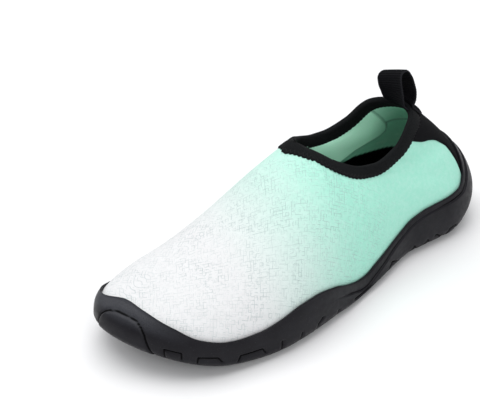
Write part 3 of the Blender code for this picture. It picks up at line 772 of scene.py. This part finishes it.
def lining_look():
    """Mint lining: a lighter padded panel along the side, darker cloth below and behind it, dark seams,
    nearly black low down. The darker cloth's tone is partly painted shade, and painted shade darkens the
    panel towards the heel.

    A faint glow stands for the daylight that comes through the thin knit.
    """
    look = Look("lining")
    place = look.place()
    surface = look.surface()
    panel = look.attribute("panel")
    seam = look.attribute("seam")
    foot = look.attribute("foot")
    # painted shade: the panel's lighter tone fades out towards the heel, where the inside of the heel lies in
    # shadow
    rearward = look.remap(look.parts(place)[1], -0.016, 0.004)
    panel = look.sum("MULTIPLY", panel, look.sum("MULTIPLY_ADD", rearward, -0.85, 1.0))
    # the darker tone is partly the cloth's own colour and partly painted shade low down and behind
    colour = look.blend(panel, (0.15, 0.48, 0.32), (0.55, 0.94, 0.74))
    cloth = look.noise(look.stretch(surface, (900.0, 900.0, 1.0)), 1.0, 2.0)
    colour = look.blend(look.remap(cloth, 0.3, 0.8, 0.0, 0.15), colour, (0.20, 0.42, 0.30))
    wear = look.noise(place, 90.0, 3.0)
    colour = look.blend(look.remap(wear, 0.45, 0.75, 0.0, 0.12), colour, (0.75, 0.9, 0.82))
    colour = look.blend(look.sum("MULTIPLY", seam, 0.8), colour, (0.02, 0.06, 0.045))
    # the lining is coloured nearly black low down, below FOOT_EDGE
    colour = look.blend(foot, colour, (0.0006, 0.0007, 0.0007))
    through = look.blend(panel, (0.016, 0.037, 0.026), (0.052, 0.122, 0.082))
    through = look.blend(foot, through, (0.0, 0.0, 0.0))
    look.feed(look.shader.inputs["Emission Color"], through)
    normal = look.bump(cloth, 0.35, 0.0002)
    return look.finish(colour, 0.95, normal, Emission_Strength=1.0, Specular_IOR_Level=0.02)


def rubber_look():
    """Charcoal rubber, satin, with a fine grain, paler spots, a painted highlight on the toe top and grooves
    darkened nearly to black by painted shade.
    """
    look = Look("rubber")
    place = look.place()
    grain = look.noise(place, 2600.0)
    cloud = look.noise(place, 60.0, 3.0)
    colour = look.blend(look.remap(cloud, 0.35, 0.70), (0.0066, 0.0062, 0.0088), (0.0100, 0.0095, 0.0128))
    speck = look.remap(look.noise(place, 1500.0, 1.0), 0.66, 0.74)
    colour = look.blend(look.sum("MULTIPLY", speck, 0.35), colour, (0.045, 0.045, 0.050))
    # painted highlight: the top of the toe is lighter where the light from above falls on it, broken up by
    # the grain
    painted_toe_highlight = look.attribute("painted_toe_highlight")
    painted_toe_highlight = look.sum("MULTIPLY", painted_toe_highlight, look.remap(grain, 0.30, 0.62, 0.45, 1.0))
    colour = look.blend(painted_toe_highlight, colour, (0.046, 0.048, 0.056))
    # painted shade: the cuts in the sole's side and the lip's line are darkened nearly to black
    line = look.attribute("line")
    colour = look.blend(look.remap(line, 0.35, 0.85, 0.0, 0.96), colour, (0.0006, 0.0006, 0.0009))
    rough = look.remap(look.noise(place, 300.0), 0.3, 0.7, 0.40, 0.52)
    rough = look.sum("MAXIMUM", rough, look.remap(line, 0.30, 0.80, 0.0, 1.0))
    normal = look.bump(grain, 0.25, 0.00010)
    return look.finish(colour, rough, normal, Specular_IOR_Level=0.17)


def tape_look():
    """Black stretch tape with fine lengthwise ribs."""
    look = Look("binding")
    surface = look.surface()
    ribs = look.node("ShaderNodeTexWave", {
        "Vector": surface, "Scale": 620.0, "Distortion": 0.6, "Detail": 1.0,
    }, bands_direction="Y")
    fuzz = look.noise(look.place(), 2200.0)
    colour = look.blend(look.remap(fuzz, 0.35, 0.75), (0.004, 0.0045, 0.005), (0.011, 0.012, 0.013))
    normal = look.bump(ribs.outputs["Fac"], 0.35, 0.00015)
    normal = look.bump(fuzz, 0.25, 0.0001, normal)
    return look.finish(colour, 0.85, normal, Sheen_Weight=0.01, Specular_IOR_Level=0.10)


def patch_look():
    """Black stretch cloth with a fine weave."""
    look = Look("patch")
    surface = look.surface()
    weave = look.noise(look.stretch(surface, (1800.0, 2600.0, 1.0)), 1.0, 1.0)
    colour = look.blend(look.remap(weave, 0.3, 0.8), (0.0035, 0.0035, 0.0042), (0.009, 0.009, 0.0105))
    normal = look.bump(weave, 0.35, 0.00015)
    return look.finish(colour, 0.88, normal, Specular_IOR_Level=0.08)


def webbing_look():
    """Black webbing: cross ribs lie in the mesh, threads in the bump, and a painted highlight makes its edges
    a little paler.
    """
    look = Look("webbing")
    surface = look.surface()
    across = look.parts(surface)[0]
    # painted highlight along both edges of the webbing
    edge = look.remap(look.sum("ABSOLUTE", across), 0.42 * LOOP_WIDTH, 0.5 * LOOP_WIDTH)
    thread = look.noise(look.stretch(surface, (2600.0, 700.0, 1.0)), 1.0, 1.0)
    colour = look.blend(look.remap(thread, 0.3, 0.8), (0.0014, 0.0014, 0.0022), (0.0042, 0.0042, 0.0060))
    colour = look.blend(look.sum("MULTIPLY", edge, 0.7), colour, (0.018, 0.018, 0.021))
    normal = look.bump(thread, 0.5, 0.0002)
    return look.finish(colour, 0.62, normal, Specular_IOR_Level=0.07)


def insole_look():
    """Black insole cloth over foam, its colour pushed nearly to zero by painted shade inside the shoe."""
    look = Look("insole")
    weave = look.noise(look.place(), 1500.0)
    # black cloth darkened further by painted shade inside the shoe
    colour = look.blend(look.remap(weave, 0.3, 0.8), (0.0003, 0.0003, 0.0003), (0.0011, 0.0011, 0.0011))
    normal = look.bump(weave, 0.4, 0.0002)
    return look.finish(colour, 0.92, normal, Specular_IOR_Level=0.0)


def thread_look():
    """Black sewing thread with a twist."""
    look = Look("thread")
    twist = look.noise(look.stretch(look.place(), (2500.0, 2500.0, 5000.0)), 1.0, 1.0)
    colour = look.blend(look.remap(twist, 0.3, 0.8), (0.004, 0.004, 0.005), (0.012, 0.012, 0.013))
    return look.finish(colour, 0.6, look.bump(twist, 0.4, 0.00008), Specular_IOR_Level=0.2)


def make_knit_upper(knit, lining):
    """The sock: outer knit skin and inner lining skin, each the last moved along its normal, one closed wall.

    The outer skin is moved by the creases, each a soft trough whose depth falls off as exp(-(d / width)^2)
    with the distance d from its middle line. The inner skin stands in by the wall and carries the side
    panel, a step of PANEL_STEP, and the seams round it, narrow grooves.
    """
    u = round_columns(130, 120)
    count = len(u)
    outer_v = np.linspace(1, 0, 86)
    inner_v = np.linspace(0, 1, 62)
    grid_u, grid_v = np.broadcast_arrays(u[None, :], outer_v[:, None])
    base = last(grid_u, grid_v)
    s = arc_lengths(np.concatenate([base, base[:, :1]], axis=1), 1)
    t = arc_lengths(base[::-1], 0)[::-1]
    relief = np.zeros_like(grid_v)
    for crease in CREASES:
        line = []
        for end_u, end_v in (crease[0:2], crease[2:4]):
            at = (np.argmin(np.abs(outer_v - end_v)), np.argmin(np.abs(u - end_u)))
            line += [s[at], t[at]]
        away, way = segment_distance(s[:, :-1], t, line)
        relief -= crease[5] * groove(away, crease[4]) * (0.35 + 0.65 * np.sin(np.pi * way))
    outer = base + skin_normal(grid_u, grid_v) * relief[..., None]

    in_u, in_v = np.broadcast_arrays(u[None, :], inner_v[:, None])
    size = np.abs(in_u)
    low_edge = straight(size, PANEL_LOW)
    rear_edge = straight(in_v, PANEL_REAR)
    side = edge_step(size - rear_edge, 0.006) * edge_step(in_v - low_edge, 0.02)
    behind = 1 - edge_step(size - HEEL_PANEL_U, 0.006)
    behind = behind * edge_step(in_v - HEEL_PANEL_V, 0.02)
    panel = side + HEEL_PANEL_SHARE * behind
    across = groove(size - rear_edge, 0.0045) * (in_v > low_edge)
    below = groove(in_v - low_edge, 0.014) * (size > rear_edge - 0.004)
    level = groove(in_v - HEEL_PANEL_V, 0.014) * (size < HEEL_PANEL_U)
    seam = np.clip(across + below * 0.6 + level, 0, 1)
    reach = -UPPER_WALL - PANEL_STEP * side + SEAM_DEPTH * seam
    # below the binding the lining follows the creases, read between the outer skin's rows
    row = (1 - inner_v) * (len(outer_v) - 1)
    above = np.minimum(row.astype(int), len(outer_v) - 2)
    part = (row - above)[:, None]
    follow = relief[above] * (1 - part) + relief[above + 1] * part
    follow = follow * (1 - smooth_step((in_v - LINING_FREE_V) / 0.08))
    inner = offset(in_u, in_v, reach + follow)

    rows = np.concatenate([outer, inner])
    points = rows.reshape(-1, 3)
    quads = band_quads(len(rows), count)
    last_row = (len(rows) - 1) * count
    # the rim joins the two skins wherever a column and the next one lie on the collar
    on_collar = share_of(u) <= THROAT_SHARE + 1e-9
    rear = np.nonzero(on_collar & np.roll(on_collar, -1))[0]
    after = (rear + 1) % count
    rim = np.stack([last_row + rear, last_row + after, after, rear], -1)
    faces = np.concatenate([quads, rim])
    # the two sides share the points of the ridge
    same = np.arange(len(points))
    toe = int(np.argmax(u))
    front = np.nonzero(share_of(u) > THROAT_SHARE - 1e-9)[0]
    front = front[front > toe]
    same[front] = 2 * toe - front
    same[last_row + front] = last_row + 2 * toe - front
    # the knit's net: the length and the distance from the ridge, turned by the bias
    held = np.clip((HEEL_OVERHANG - base[..., 1]) / LAST_LENGTH, 0.42, TOE_FAN)
    chord = np.hypot(
        base[..., 0] - curve(held, RIDGE, 2) * BALL_WIDTH,
        base[..., 2] - curve(held, RIDGE, 1) * INSTEP_HEIGHT,
    )
    closed_y = -np.concatenate([base[..., 1], base[:, :1, 1]], axis=1)
    closed_chord = np.concatenate([chord, chord[:, :1]], axis=1)
    knit_s = closed_y * np.cos(KNIT_BIAS) - closed_chord * np.sin(KNIT_BIAS)
    knit_t = closed_y * np.sin(KNIT_BIAS) + closed_chord * np.cos(KNIT_BIAS)
    inner_s = np.broadcast_to(s[len(outer_v) // 2][None, :], (len(inner_v), count + 1))
    inner_t = np.broadcast_to(inner_v[:, None] * 0.075, (len(inner_v), count + 1))
    all_s = np.concatenate([knit_s, inner_s])
    all_t = np.concatenate([knit_t, inner_t])
    uv = np.concatenate([band_uv(all_s, all_t), np.zeros((len(rim), 4, 2))])
    look_of_face = np.zeros(len(faces), int)
    look_of_face[len(outer_v) * count:len(quads)] = 1
    foot_edge = straight(size, FOOT_EDGE)
    foot = edge_step(foot_edge - in_v, 0.012)
    outside = np.zeros(len(outer_v) * count)
    attributes = {
        name: np.concatenate([outside, values.ravel()])
        for name, values in (("foot", foot), ("panel", panel), ("seam", seam))
    }
    made = make_piece("knit_upper", points, same[faces], [knit, lining], look_of_face, uv, attributes)
    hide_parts("upper")


def side_relief(c, rise, s, height):
    """How far the sole's side stands out or in: the lip's line, the toe panel and the cuts of the lugs.

    A line is a groove whose depth falls off as exp(-(d / width)^2); below the lip's line the side stands
    out by a step, and so does the toe panel inside its own line.
    """
    u = np.where(c > 1, c - 2, c)
    share = share_of(u)
    line = curve(share, LIP_LINE, 1)
    crisp = curve(share, LIP_LINE, 2)
    below = (line - rise) * height
    relief = STEP_DEPTH * 0.8 * crisp * smooth_step(below / 0.0010) * smooth_step(rise * height / 0.003)
    relief -= LINE_DEPTH * crisp * groove(below, LINE_WIDTH)
    at_toe = (c > TOE_LINE[0, 0]) & (c < TOE_LINE[-1, 0])
    toe_top = straight(c, TOE_LINE)
    inside = np.where(at_toe, smooth_step((toe_top - rise) * height / 0.0012), 0)
    relief += 0.0005 * inside * smooth_step(rise * height / 0.003)
    away = np.full_like(rise, 1.0)
    mirrored = [[(2 - place, part) for place, part in path] for path in SIDE_CUTS]
    for path in (*SIDE_CUTS, *mirrored, TOE_LINE):
        places, parts = np.array(path).T
        path_s = np.interp(places, c[0], s[0])
        path_h = np.interp(places, c[0], height[0]) * parts
        for k in range(len(path) - 1):
            ends = (path_s[k], path_h[k], path_s[k + 1], path_h[k + 1])
            away = np.minimum(away, segment_distance(s, rise * height, ends)[0])
    cut = groove(away, CUT_WIDTH)
    relief -= CUT_DEPTH * cut
    line = np.maximum(cut, 0.8 * crisp * groove(below, LINE_WIDTH))
    return relief, line


def tread(x, y):
    """Height of the tread's cuts: waved grooves square to the foot, at the pitch of the solid's grooves."""
    wave = y + TREAD_WAVE * np.sin(2 * np.pi * x / TREAD_WAVE_LENGTH)

    def to_groove(first):
        return np.abs((wave - first + GROOVE_PITCH / 2) % GROOVE_PITCH - GROOVE_PITCH / 2)

    at_heel = y > length_to_y(HEEL_TREAD_END)
    at_fore = y < length_to_y(FORE_TREAD_START)
    fore = np.where(at_fore, to_groove(length_to_y(FIRST_FORE_GROOVE)), 1.0)
    away = np.where(at_heel, to_groove(HEEL_OVERHANG - FIRST_GROOVE), fore)
    cut = edge_step(GROOVE_WIDTH / 2 - away, 0.0005)
    spine = np.abs(x - straight(y, TREAD_SPINE))
    split = edge_step(GROOVE_WIDTH / 2 - spine, 0.0005) * (at_heel | at_fore)
    fine = np.where(at_heel | at_fore, 0, 0.5 * smooth_step(np.sin(2 * np.pi * y / 0.0032) * 0.5 + 0.3))
    return GROOVE_DEPTH * np.maximum(np.maximum(cut, 0.7 * split), fine * 0.3)


def make_rubber_sole(rubber):
    """One closed moulding: waved outer side with its details, rounded lip, inner side, floor and tread."""
    u = round_columns(230, 210)
    count = len(u)
    c_columns = np.where(u < 0, 2 + u, u)
    line = curve(share_of(u), LIP_LINE, 1)[None, :]
    # the rows crowd round the lip's line
    below = np.linspace(0, 1, 35)[:-1, None] * (line - LINE_BAND)
    around = line + np.linspace(-LINE_BAND, LINE_BAND, 12)[:, None]
    above = line + LINE_BAND + np.linspace(0, 1, 8)[1:, None] * (1 - line - LINE_BAND)
    grid_r = np.concatenate([below, around, above])
    grid_u = np.broadcast_to(u[None, :], grid_r.shape)
    plain = wall_point(grid_u, grid_r, 0.0)
    s = arc_lengths(plain[len(below) // 2], 0)
    height = arc_lengths(plain, 0)[-1]
    c, s, height = (np.broadcast_to(values[None, :], grid_r.shape) for values in (c_columns, s, height))
    relief, line = side_relief(c, grid_r, s, height)
    outer = wall_point(grid_u, grid_r, relief)
    _, _, top = wall_heights(u)
    top_v = height_to_v(u, top)
    normal = last_normal(u, top_v)
    lift = np.array([0, 0, 1.0])
    centre = offset(u, top_v, GAP + LIP_THICKNESS / 2)
    lip = []
    for angle in np.radians([30, 60, 90, 120, 150]):
        out = np.cos(angle) * LIP_THICKNESS / 2
        lip.append(centre + normal * out + lift * np.sin(angle) * LIP_THICKNESS * 0.45)
    inner = [offset(u, top_v * part, GAP) for part in np.linspace(1, 0, 9)]
    inner.append(offset(u, np.zeros_like(u), GAP, GAP))
    rows = np.concatenate([outer, np.array(lip), np.array(inner)])
    points = rows.reshape(-1, 3)
    quads = band_quads(len(rows), count)

    # the underside: points between the two sides, raised by the tread's cuts
    def cuts(across, share):
        width = np.linalg.norm(across[:, -1:] - across[:, :1], axis=-1)
        edge = width * np.minimum(share, 1 - share)
        return tread(across[..., 0], across[..., 1]) * smooth_step((edge - 0.0005) / 0.002)

    net, under = fill_ring(outer[0], 0, len(points), 52, cuts)
    points = np.concatenate([points, net])
    # the floor inside, flat across
    base = (len(rows) - 1) * count
    half = np.arange(count // 2 + 1)
    first = base + half
    second = base + (count - half) % count
    inside_floor = np.stack([first[:-1], first[1:], second[1:], second[:-1]], -1)
    faces = np.concatenate([quads, under, inside_floor])
    # painted highlight: mask over the top of the toe, where the light from above falls
    toe_top = smooth_step((share_of(grid_u) - 0.90) / 0.09) * smooth_step((grid_r - 0.66) / 0.22)
    attributes = {
        name: np.concatenate([values.ravel(), np.zeros(len(points) - values.size)])
        for name, values in (("line", line), ("painted_toe_highlight", toe_top))
    }
    made = make_piece("rubber_sole", points, faces, [rubber], attributes=attributes)
    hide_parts("sole")


def make_insole_sheet(look):
    """A 3 mm sheet on the sole's floor: its edge is rounded and its top dips 0.5 mm towards the middle."""
    u = round_columns(90, 90)
    rows = []
    # how far each ring of the edge stands in, and its height
    profile = ((0.0004, 0.0), (0.0, 0.0006), (0.0, 0.0022), (0.0004, 0.0028), (0.0012, INSOLE_THICKNESS))
    for inset, lift in profile:
        ring = offset(u, np.zeros_like(u), -(UPPER_WALL + GAP + inset))
        ring[:, 2] += lift
        rows.append(ring)
    points = np.concatenate(rows)
    faces = [band_quads(len(rows), len(u))]
    for row, dip in ((0, 0.0), (len(rows) - 1, 0.0005)):
        net, quads = fill_ring(
            rows[row], row * len(u), len(points), 16, lambda across, share: -dip * np.sin(np.pi * share)
        )
        points = np.concatenate([points, net])
        faces.append(quads[:, [0, 3, 2, 1]] if row else quads)
    made = make_piece("insole_sheet", points, np.concatenate(faces), [look])
    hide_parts("insole")


def closed_tube(name, path, radius, sides, look):
    """Round thread along a closed path: a circle carried square to the path."""
    ahead = unit(np.roll(path, -1, axis=0) - np.roll(path, 1, axis=0))
    side = unit(np.cross(ahead, np.array([0.3, 0.2, 0.93])))
    top = np.cross(side, ahead)
    turn = np.linspace(0, 2 * np.pi, sides, endpoint=False)
    ring = side[:, None] * np.cos(turn)[None, :, None] + top[:, None] * np.sin(turn)[None, :, None]
    points = (path[:, None] + ring * radius).reshape(-1, 3)
    # the last ring meets the first
    faces = band_quads(len(path) + 1, sides) % len(points)
    return make_piece(name, points, faces, [look])


def collar_columns(count):
    """u round the collar, evenly spaced along its edge."""
    fine = np.concatenate([np.linspace(-THROAT_U, 0, 1501), np.linspace(0, THROAT_U, 1501)[1:]])
    edge = last(fine, np.ones_like(fine))
    walked = arc_lengths(edge, 0)
    places = np.linspace(0, walked[-1], count + 1)[:-1]
    return np.interp(places, walked, fine), places, walked[-1]


def make_collar_tape(look, thread):
    """Folded tape: two legs on the knit and a round fold over the edge, carried round the collar.

    Each leg has the section of TAPE_SECTION: it swells in its middle and thins at the stitches. Its edge is
    scalloped by the zigzag stitch: width = W + SCALLOP_DEPTH * |sin| at the stitch's pitch.
    """
    u, walked, length = collar_columns(720)
    beat = np.abs(np.sin(np.pi * SCALLOPS * walked / length))
    width = BINDING_WIDTH + SCALLOP_DEPTH * beat - SCALLOP_INSET
    outside = width * curve(share_of(u) / THROAT_SHARE, TAPE_WIDTHS, 1)
    near = TAPE_CLEARANCE
    section = TAPE_SECTION * [1, BINDING_THICKNESS]
    rows = []
    heights = []
    for part, thick in section:
        rows.append(binding_point(u, outside * part, near + thick))
        heights.append(part * BINDING_WIDTH)
    edge = last(u, np.ones_like(u))
    tangent = np.roll(edge, -1, axis=0) - np.roll(edge, 1, axis=0)
    face = offset(u, np.ones_like(u), 1.0) - edge
    away = unit(np.cross(tangent, face))
    away = away * np.sign(away[:, 2:3])
    depth = UPPER_WALL / 2 + near + 1.12 * BINDING_THICKNESS
    for angle in np.radians([0, 22, 45, 68, 90, 112, 135, 158, 180]):
        out = depth * np.cos(angle) - UPPER_WALL / 2
        beyond = FOLD_RISE * np.sin(angle)
        rows.append(edge + face * out + away * beyond)
        heights.append(-beyond)
    for part, thick in section[::-1]:
        rows.append(binding_point(u, width * part, -(UPPER_WALL + near + thick)))
        heights.append(-0.004 - part * BINDING_WIDTH)
    for part in (1.0, 0.66, 0.33, 0.0):
        rows.append(binding_point(u, width * part, -(UPPER_WALL + near)))
        heights.append(-0.013 + 0.001 * part)
    rows.append(edge + face * -UPPER_WALL + away * near)
    rows.append(edge + away * near)
    heights += [0.0, 0.0]
    for part in (0.0, 0.33, 0.66, 1.0):
        rows.append(binding_point(u, outside * part, near))
        heights.append(0.001 * part)
    points = np.concatenate(rows)
    # the last row meets the first
    faces = band_quads(len(rows) + 1, len(u)) % len(points)
    heights = np.array(heights + heights[:1])
    uv = band_uv(np.append(walked, length)[None, :], heights[:, None])
    made = make_piece("collar_tape", points, faces, [look], None, uv)
    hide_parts("collar_binding")

    stitch_u, walked, length = collar_columns(960)
    zig = 2 * np.abs(2 * ((SCALLOPS * walked / length) % 1) - 1) - 1
    leg = BINDING_WIDTH * curve(share_of(stitch_u) / THROAT_SHARE, TAPE_WIDTHS, 1)
    path = binding_point(stitch_u, leg - STITCH_INSET - STITCH_SWING * zig, near + 0.80 * BINDING_THICKNESS)
    sewn = closed_tube("collar_stitches", path, THREAD_RADIUS, 5, thread)


def make_heel_patch(look):
    """Thin black cloth on the back: it swells from nothing at its outline to its whole thickness inside."""
    search = np.linspace(-PATCH_SEARCH, PATCH_SEARCH, 121)
    edge_u, edge_v = from_rim(search, np.full_like(search, BINDING_WIDTH - 0.0012))
    parts = np.linspace(0, 1, 61)
    across = np.linspace(-1, 1, 121)
    grid_u = curve(parts, PATCH, 1)[:, None] * across[None, :]
    _, _, wall_top = wall_heights(grid_u)
    low = height_to_v(grid_u, wall_top - 0.0010)
    grid_v = low + (np.interp(grid_u, edge_u, edge_v) - low) * parts[:, None]
    swell = np.sqrt(np.clip((1 - np.abs(across)) / 0.05, 0, 1))[None, :]
    inside_wall = smooth_step((parts - 0.02) / 0.05)[:, None]
    thick = PATCH_THICKNESS * swell * (0.15 + 0.85 * inside_wall)
    front = offset(grid_u, grid_v, 0.00010 + thick)
    behind = offset(grid_u, grid_v, 0.00004)
    rows = np.concatenate([behind, front[::-1]])
    faces = strip_faces(len(rows), len(across))
    uv = np.stack([grid_u * 0.14, grid_v * 0.07], -1)
    uv = np.concatenate([uv, uv[::-1]]).reshape(-1, 2)
    face_uv = [[uv[c] for c in face] for face in faces]
    made = make_piece("heel_patch_cloth", rows.reshape(-1, 3), faces, [look], None, face_uv)
    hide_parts("heel_patch")


def make_webbing_loop(look):
    """Webbing: a ribbed flat section carried up the heel, round the bow and into the collar's top.

    The ribs are waves of RIB_HEIGHT square to the ribbon, one each RIB_PITCH. Higher up the loop rolls to the
    inner side and twists a little: each point of the bow is turned about the collar's back by angles that
    grow smoothly with its height.
    """
    rim_u = np.linspace(-0.2, 0.2, 161)
    rim_x = last(rim_u, np.ones_like(rim_u))[:, 0]
    middle = last(np.zeros(1), np.ones(1))[0]
    cover = TAPE_CLEARANCE + 1.25 * BINDING_THICKNESS + 0.0001
    half = WEBBING_THICKNESS / 2
    lean = LOOP_LEAN * BOW[:, 1]
    bow_y = BOW[:, 0] * (LOOP_DEPTH - WEBBING_THICKNESS) * BOW_DEPTH - UPPER_WALL / 2 - lean
    bow_z = BOW[:, 1] * LOOP_HEIGHT * BOW_RISE
    level = smooth_step(BOW[:, 1] / 0.9)
    roll = LOOP_ROLL * level
    twist = LOOP_TWIST * level
    x_places = np.linspace(-0.5, 0.5, 25) * LOOP_WIDTH
    legs = np.array([LOOP_LEG + 0.001, LOOP_LEG * 0.66, LOOP_LEG * 0.33, 0.0])
    lines = []
    for x in x_places:
        u = np.interp([middle[0] + x], rim_x, rim_u)
        behind = last(u, np.ones(1))[0, 1] - middle[1]
        ahead_y = bow_y + (1 - BOW_FLATTENING * BOW[:, 1]) * behind
        turned_x = x * np.cos(twist) - ahead_y * np.sin(twist)
        turned_y = x * np.sin(twist) + ahead_y * np.cos(twist)
        bow = np.stack([
            middle[0] + turned_x * np.cos(roll) - bow_z * np.sin(roll),
            middle[1] + turned_y,
            middle[2] + bow_z * np.cos(roll) + turned_x * np.sin(roll),
        ], -1)
        rear = [binding_point(u, np.array([d]), cover + half)[0] for d in legs]
        front = [binding_point(u, np.array([d]), -UPPER_WALL / 2)[0] for d in (0.0003, 0.0022)]
        lines.append(np.concatenate([rear, bow, front]))
    lines = np.array(lines)
    # a smooth curve through the points of each line, read at even steps
    knots = arc_lengths(lines[12], 0)
    even = np.linspace(0, knots[-1], 230)
    smooth = np.stack([
        np.stack([curve(even, np.stack([knots, line[:, axis]], -1), 1) for axis in range(3)], -1)
        for line in lines
    ])
    for _ in range(3):
        smooth[:, 1:-1] = (smooth[:, :-2] + 2 * smooth[:, 1:-1] + smooth[:, 2:]) / 4
    ahead = unit(np.gradient(smooth, axis=1))
    side = unit(np.gradient(smooth, axis=0))
    face = unit(np.cross(side, ahead))
    ribs = RIB_HEIGHT * np.cos(2 * np.pi * even / RIB_PITCH)[None, :]
    edge = np.abs(x_places)[:, None] / (LOOP_WIDTH / 2)
    round_edge = np.sqrt(np.clip(1 - np.clip((edge - 0.9) / 0.1, 0, 1) ** 2, 0.05, 1))
    thick = half * round_edge + ribs * (edge < 0.97)
    outer = smooth + face * thick[..., None]
    inner = smooth - face * thick[..., None]
    rows = np.concatenate([outer, inner[::-1]])
    faces = strip_faces(len(rows), len(even))
    flat = np.stack(np.broadcast_arrays(x_places[:, None], even[None, :]), -1)
    uv = np.concatenate([flat, flat[::-1]]).reshape(-1, 2)
    face_uv = [[uv[c] for c in face] for face in faces]
    made = make_piece("webbing_loop", rows.reshape(-1, 3), faces, [look], None, face_uv)
    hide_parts("pull_loop")


def make_studio():
    """Pale floor, a bright even sky, and wide soft lights above."""
    mesh = bpy.data.meshes.new("floor")
    mesh.from_pydata([(-6, -6, 0), (6, -6, 0), (6, 6, 0), (-6, 6, 0)], [], [[0, 1, 2, 3]])
    mesh.materials.append(Look("floor").finish((0.90, 0.90, 0.905), 0.6))
    floor = bpy.data.objects.new("floor", mesh)
    bpy.context.scene.collection.objects.link(floor)
    world = bpy.data.worlds.new("sky")
    world.use_nodes = True
    sky = world.node_tree.nodes["Background"].inputs
    sky["Color"].default_value = (0.97, 0.98, 1.0, 1.0)
    sky["Strength"].default_value = 0.46
    bpy.context.scene.world = world
    # name, place, aim, size, power
    for name, place, aim, size, power in (
        ("overhead", (-0.16, -0.06, 1.3), (0.0, -0.09, 0.0), 1.3, 13.8),
        ("left_window", (-1.2, -0.7, 0.9), (0.0, -0.09, 0.03), 0.9, 4.0),
        ("right_window", (1.2, -0.5, 0.9), (0.0, -0.09, 0.03), 0.9, 5.6),
    ):
        light = bpy.data.lights.new(name, "AREA")
        light.size = size
        light.energy = power
        lamp = bpy.data.objects.new(name, light)
        back = unit(np.array(place) - np.array(aim))
        right = unit(np.cross(np.array([0.02, 0.01, 1.0]), back))
        up = np.cross(back, right)
        lamp.matrix_world = facing(np.array(place), right, up, back)
        bpy.context.scene.collection.objects.link(lamp)


def make_camera():
    """Camera 36 degrees above the floor, ahead of the shoe on its outer side."""
    turn, lift, away = np.radians(49.4), np.radians(35.8), 0.69
    target = np.array([0.0, -0.09, 0.035])
    back = np.array([np.sin(turn) * np.cos(lift), -np.cos(turn) * np.cos(lift), np.sin(lift)])
    right = np.array([np.cos(turn), np.sin(turn), 0.0])
    up = np.cross(back, right)
    lens = bpy.data.cameras.new("camera")
    lens.lens = 86.4
    lens.sensor_width = 36
    lens.shift_x = -0.1296
    lens.shift_y = 0.0479
    camera = bpy.data.objects.new("camera", lens)
    place = target + away * back
    camera.matrix_world = facing(place, right, up, back)
    bpy.context.scene.collection.objects.link(camera)
    bpy.context.scene.camera = camera


make_camera()
make_studio()
bpy.context.scene.view_settings.view_transform = "Standard"
make_knit_upper(knit_look(), lining_look())
make_rubber_sole(rubber_look())
make_insole_sheet(insole_look())
make_collar_tape(tape_look(), thread_look())
make_heel_patch(patch_look())
make_webbing_loop(webbing_look())
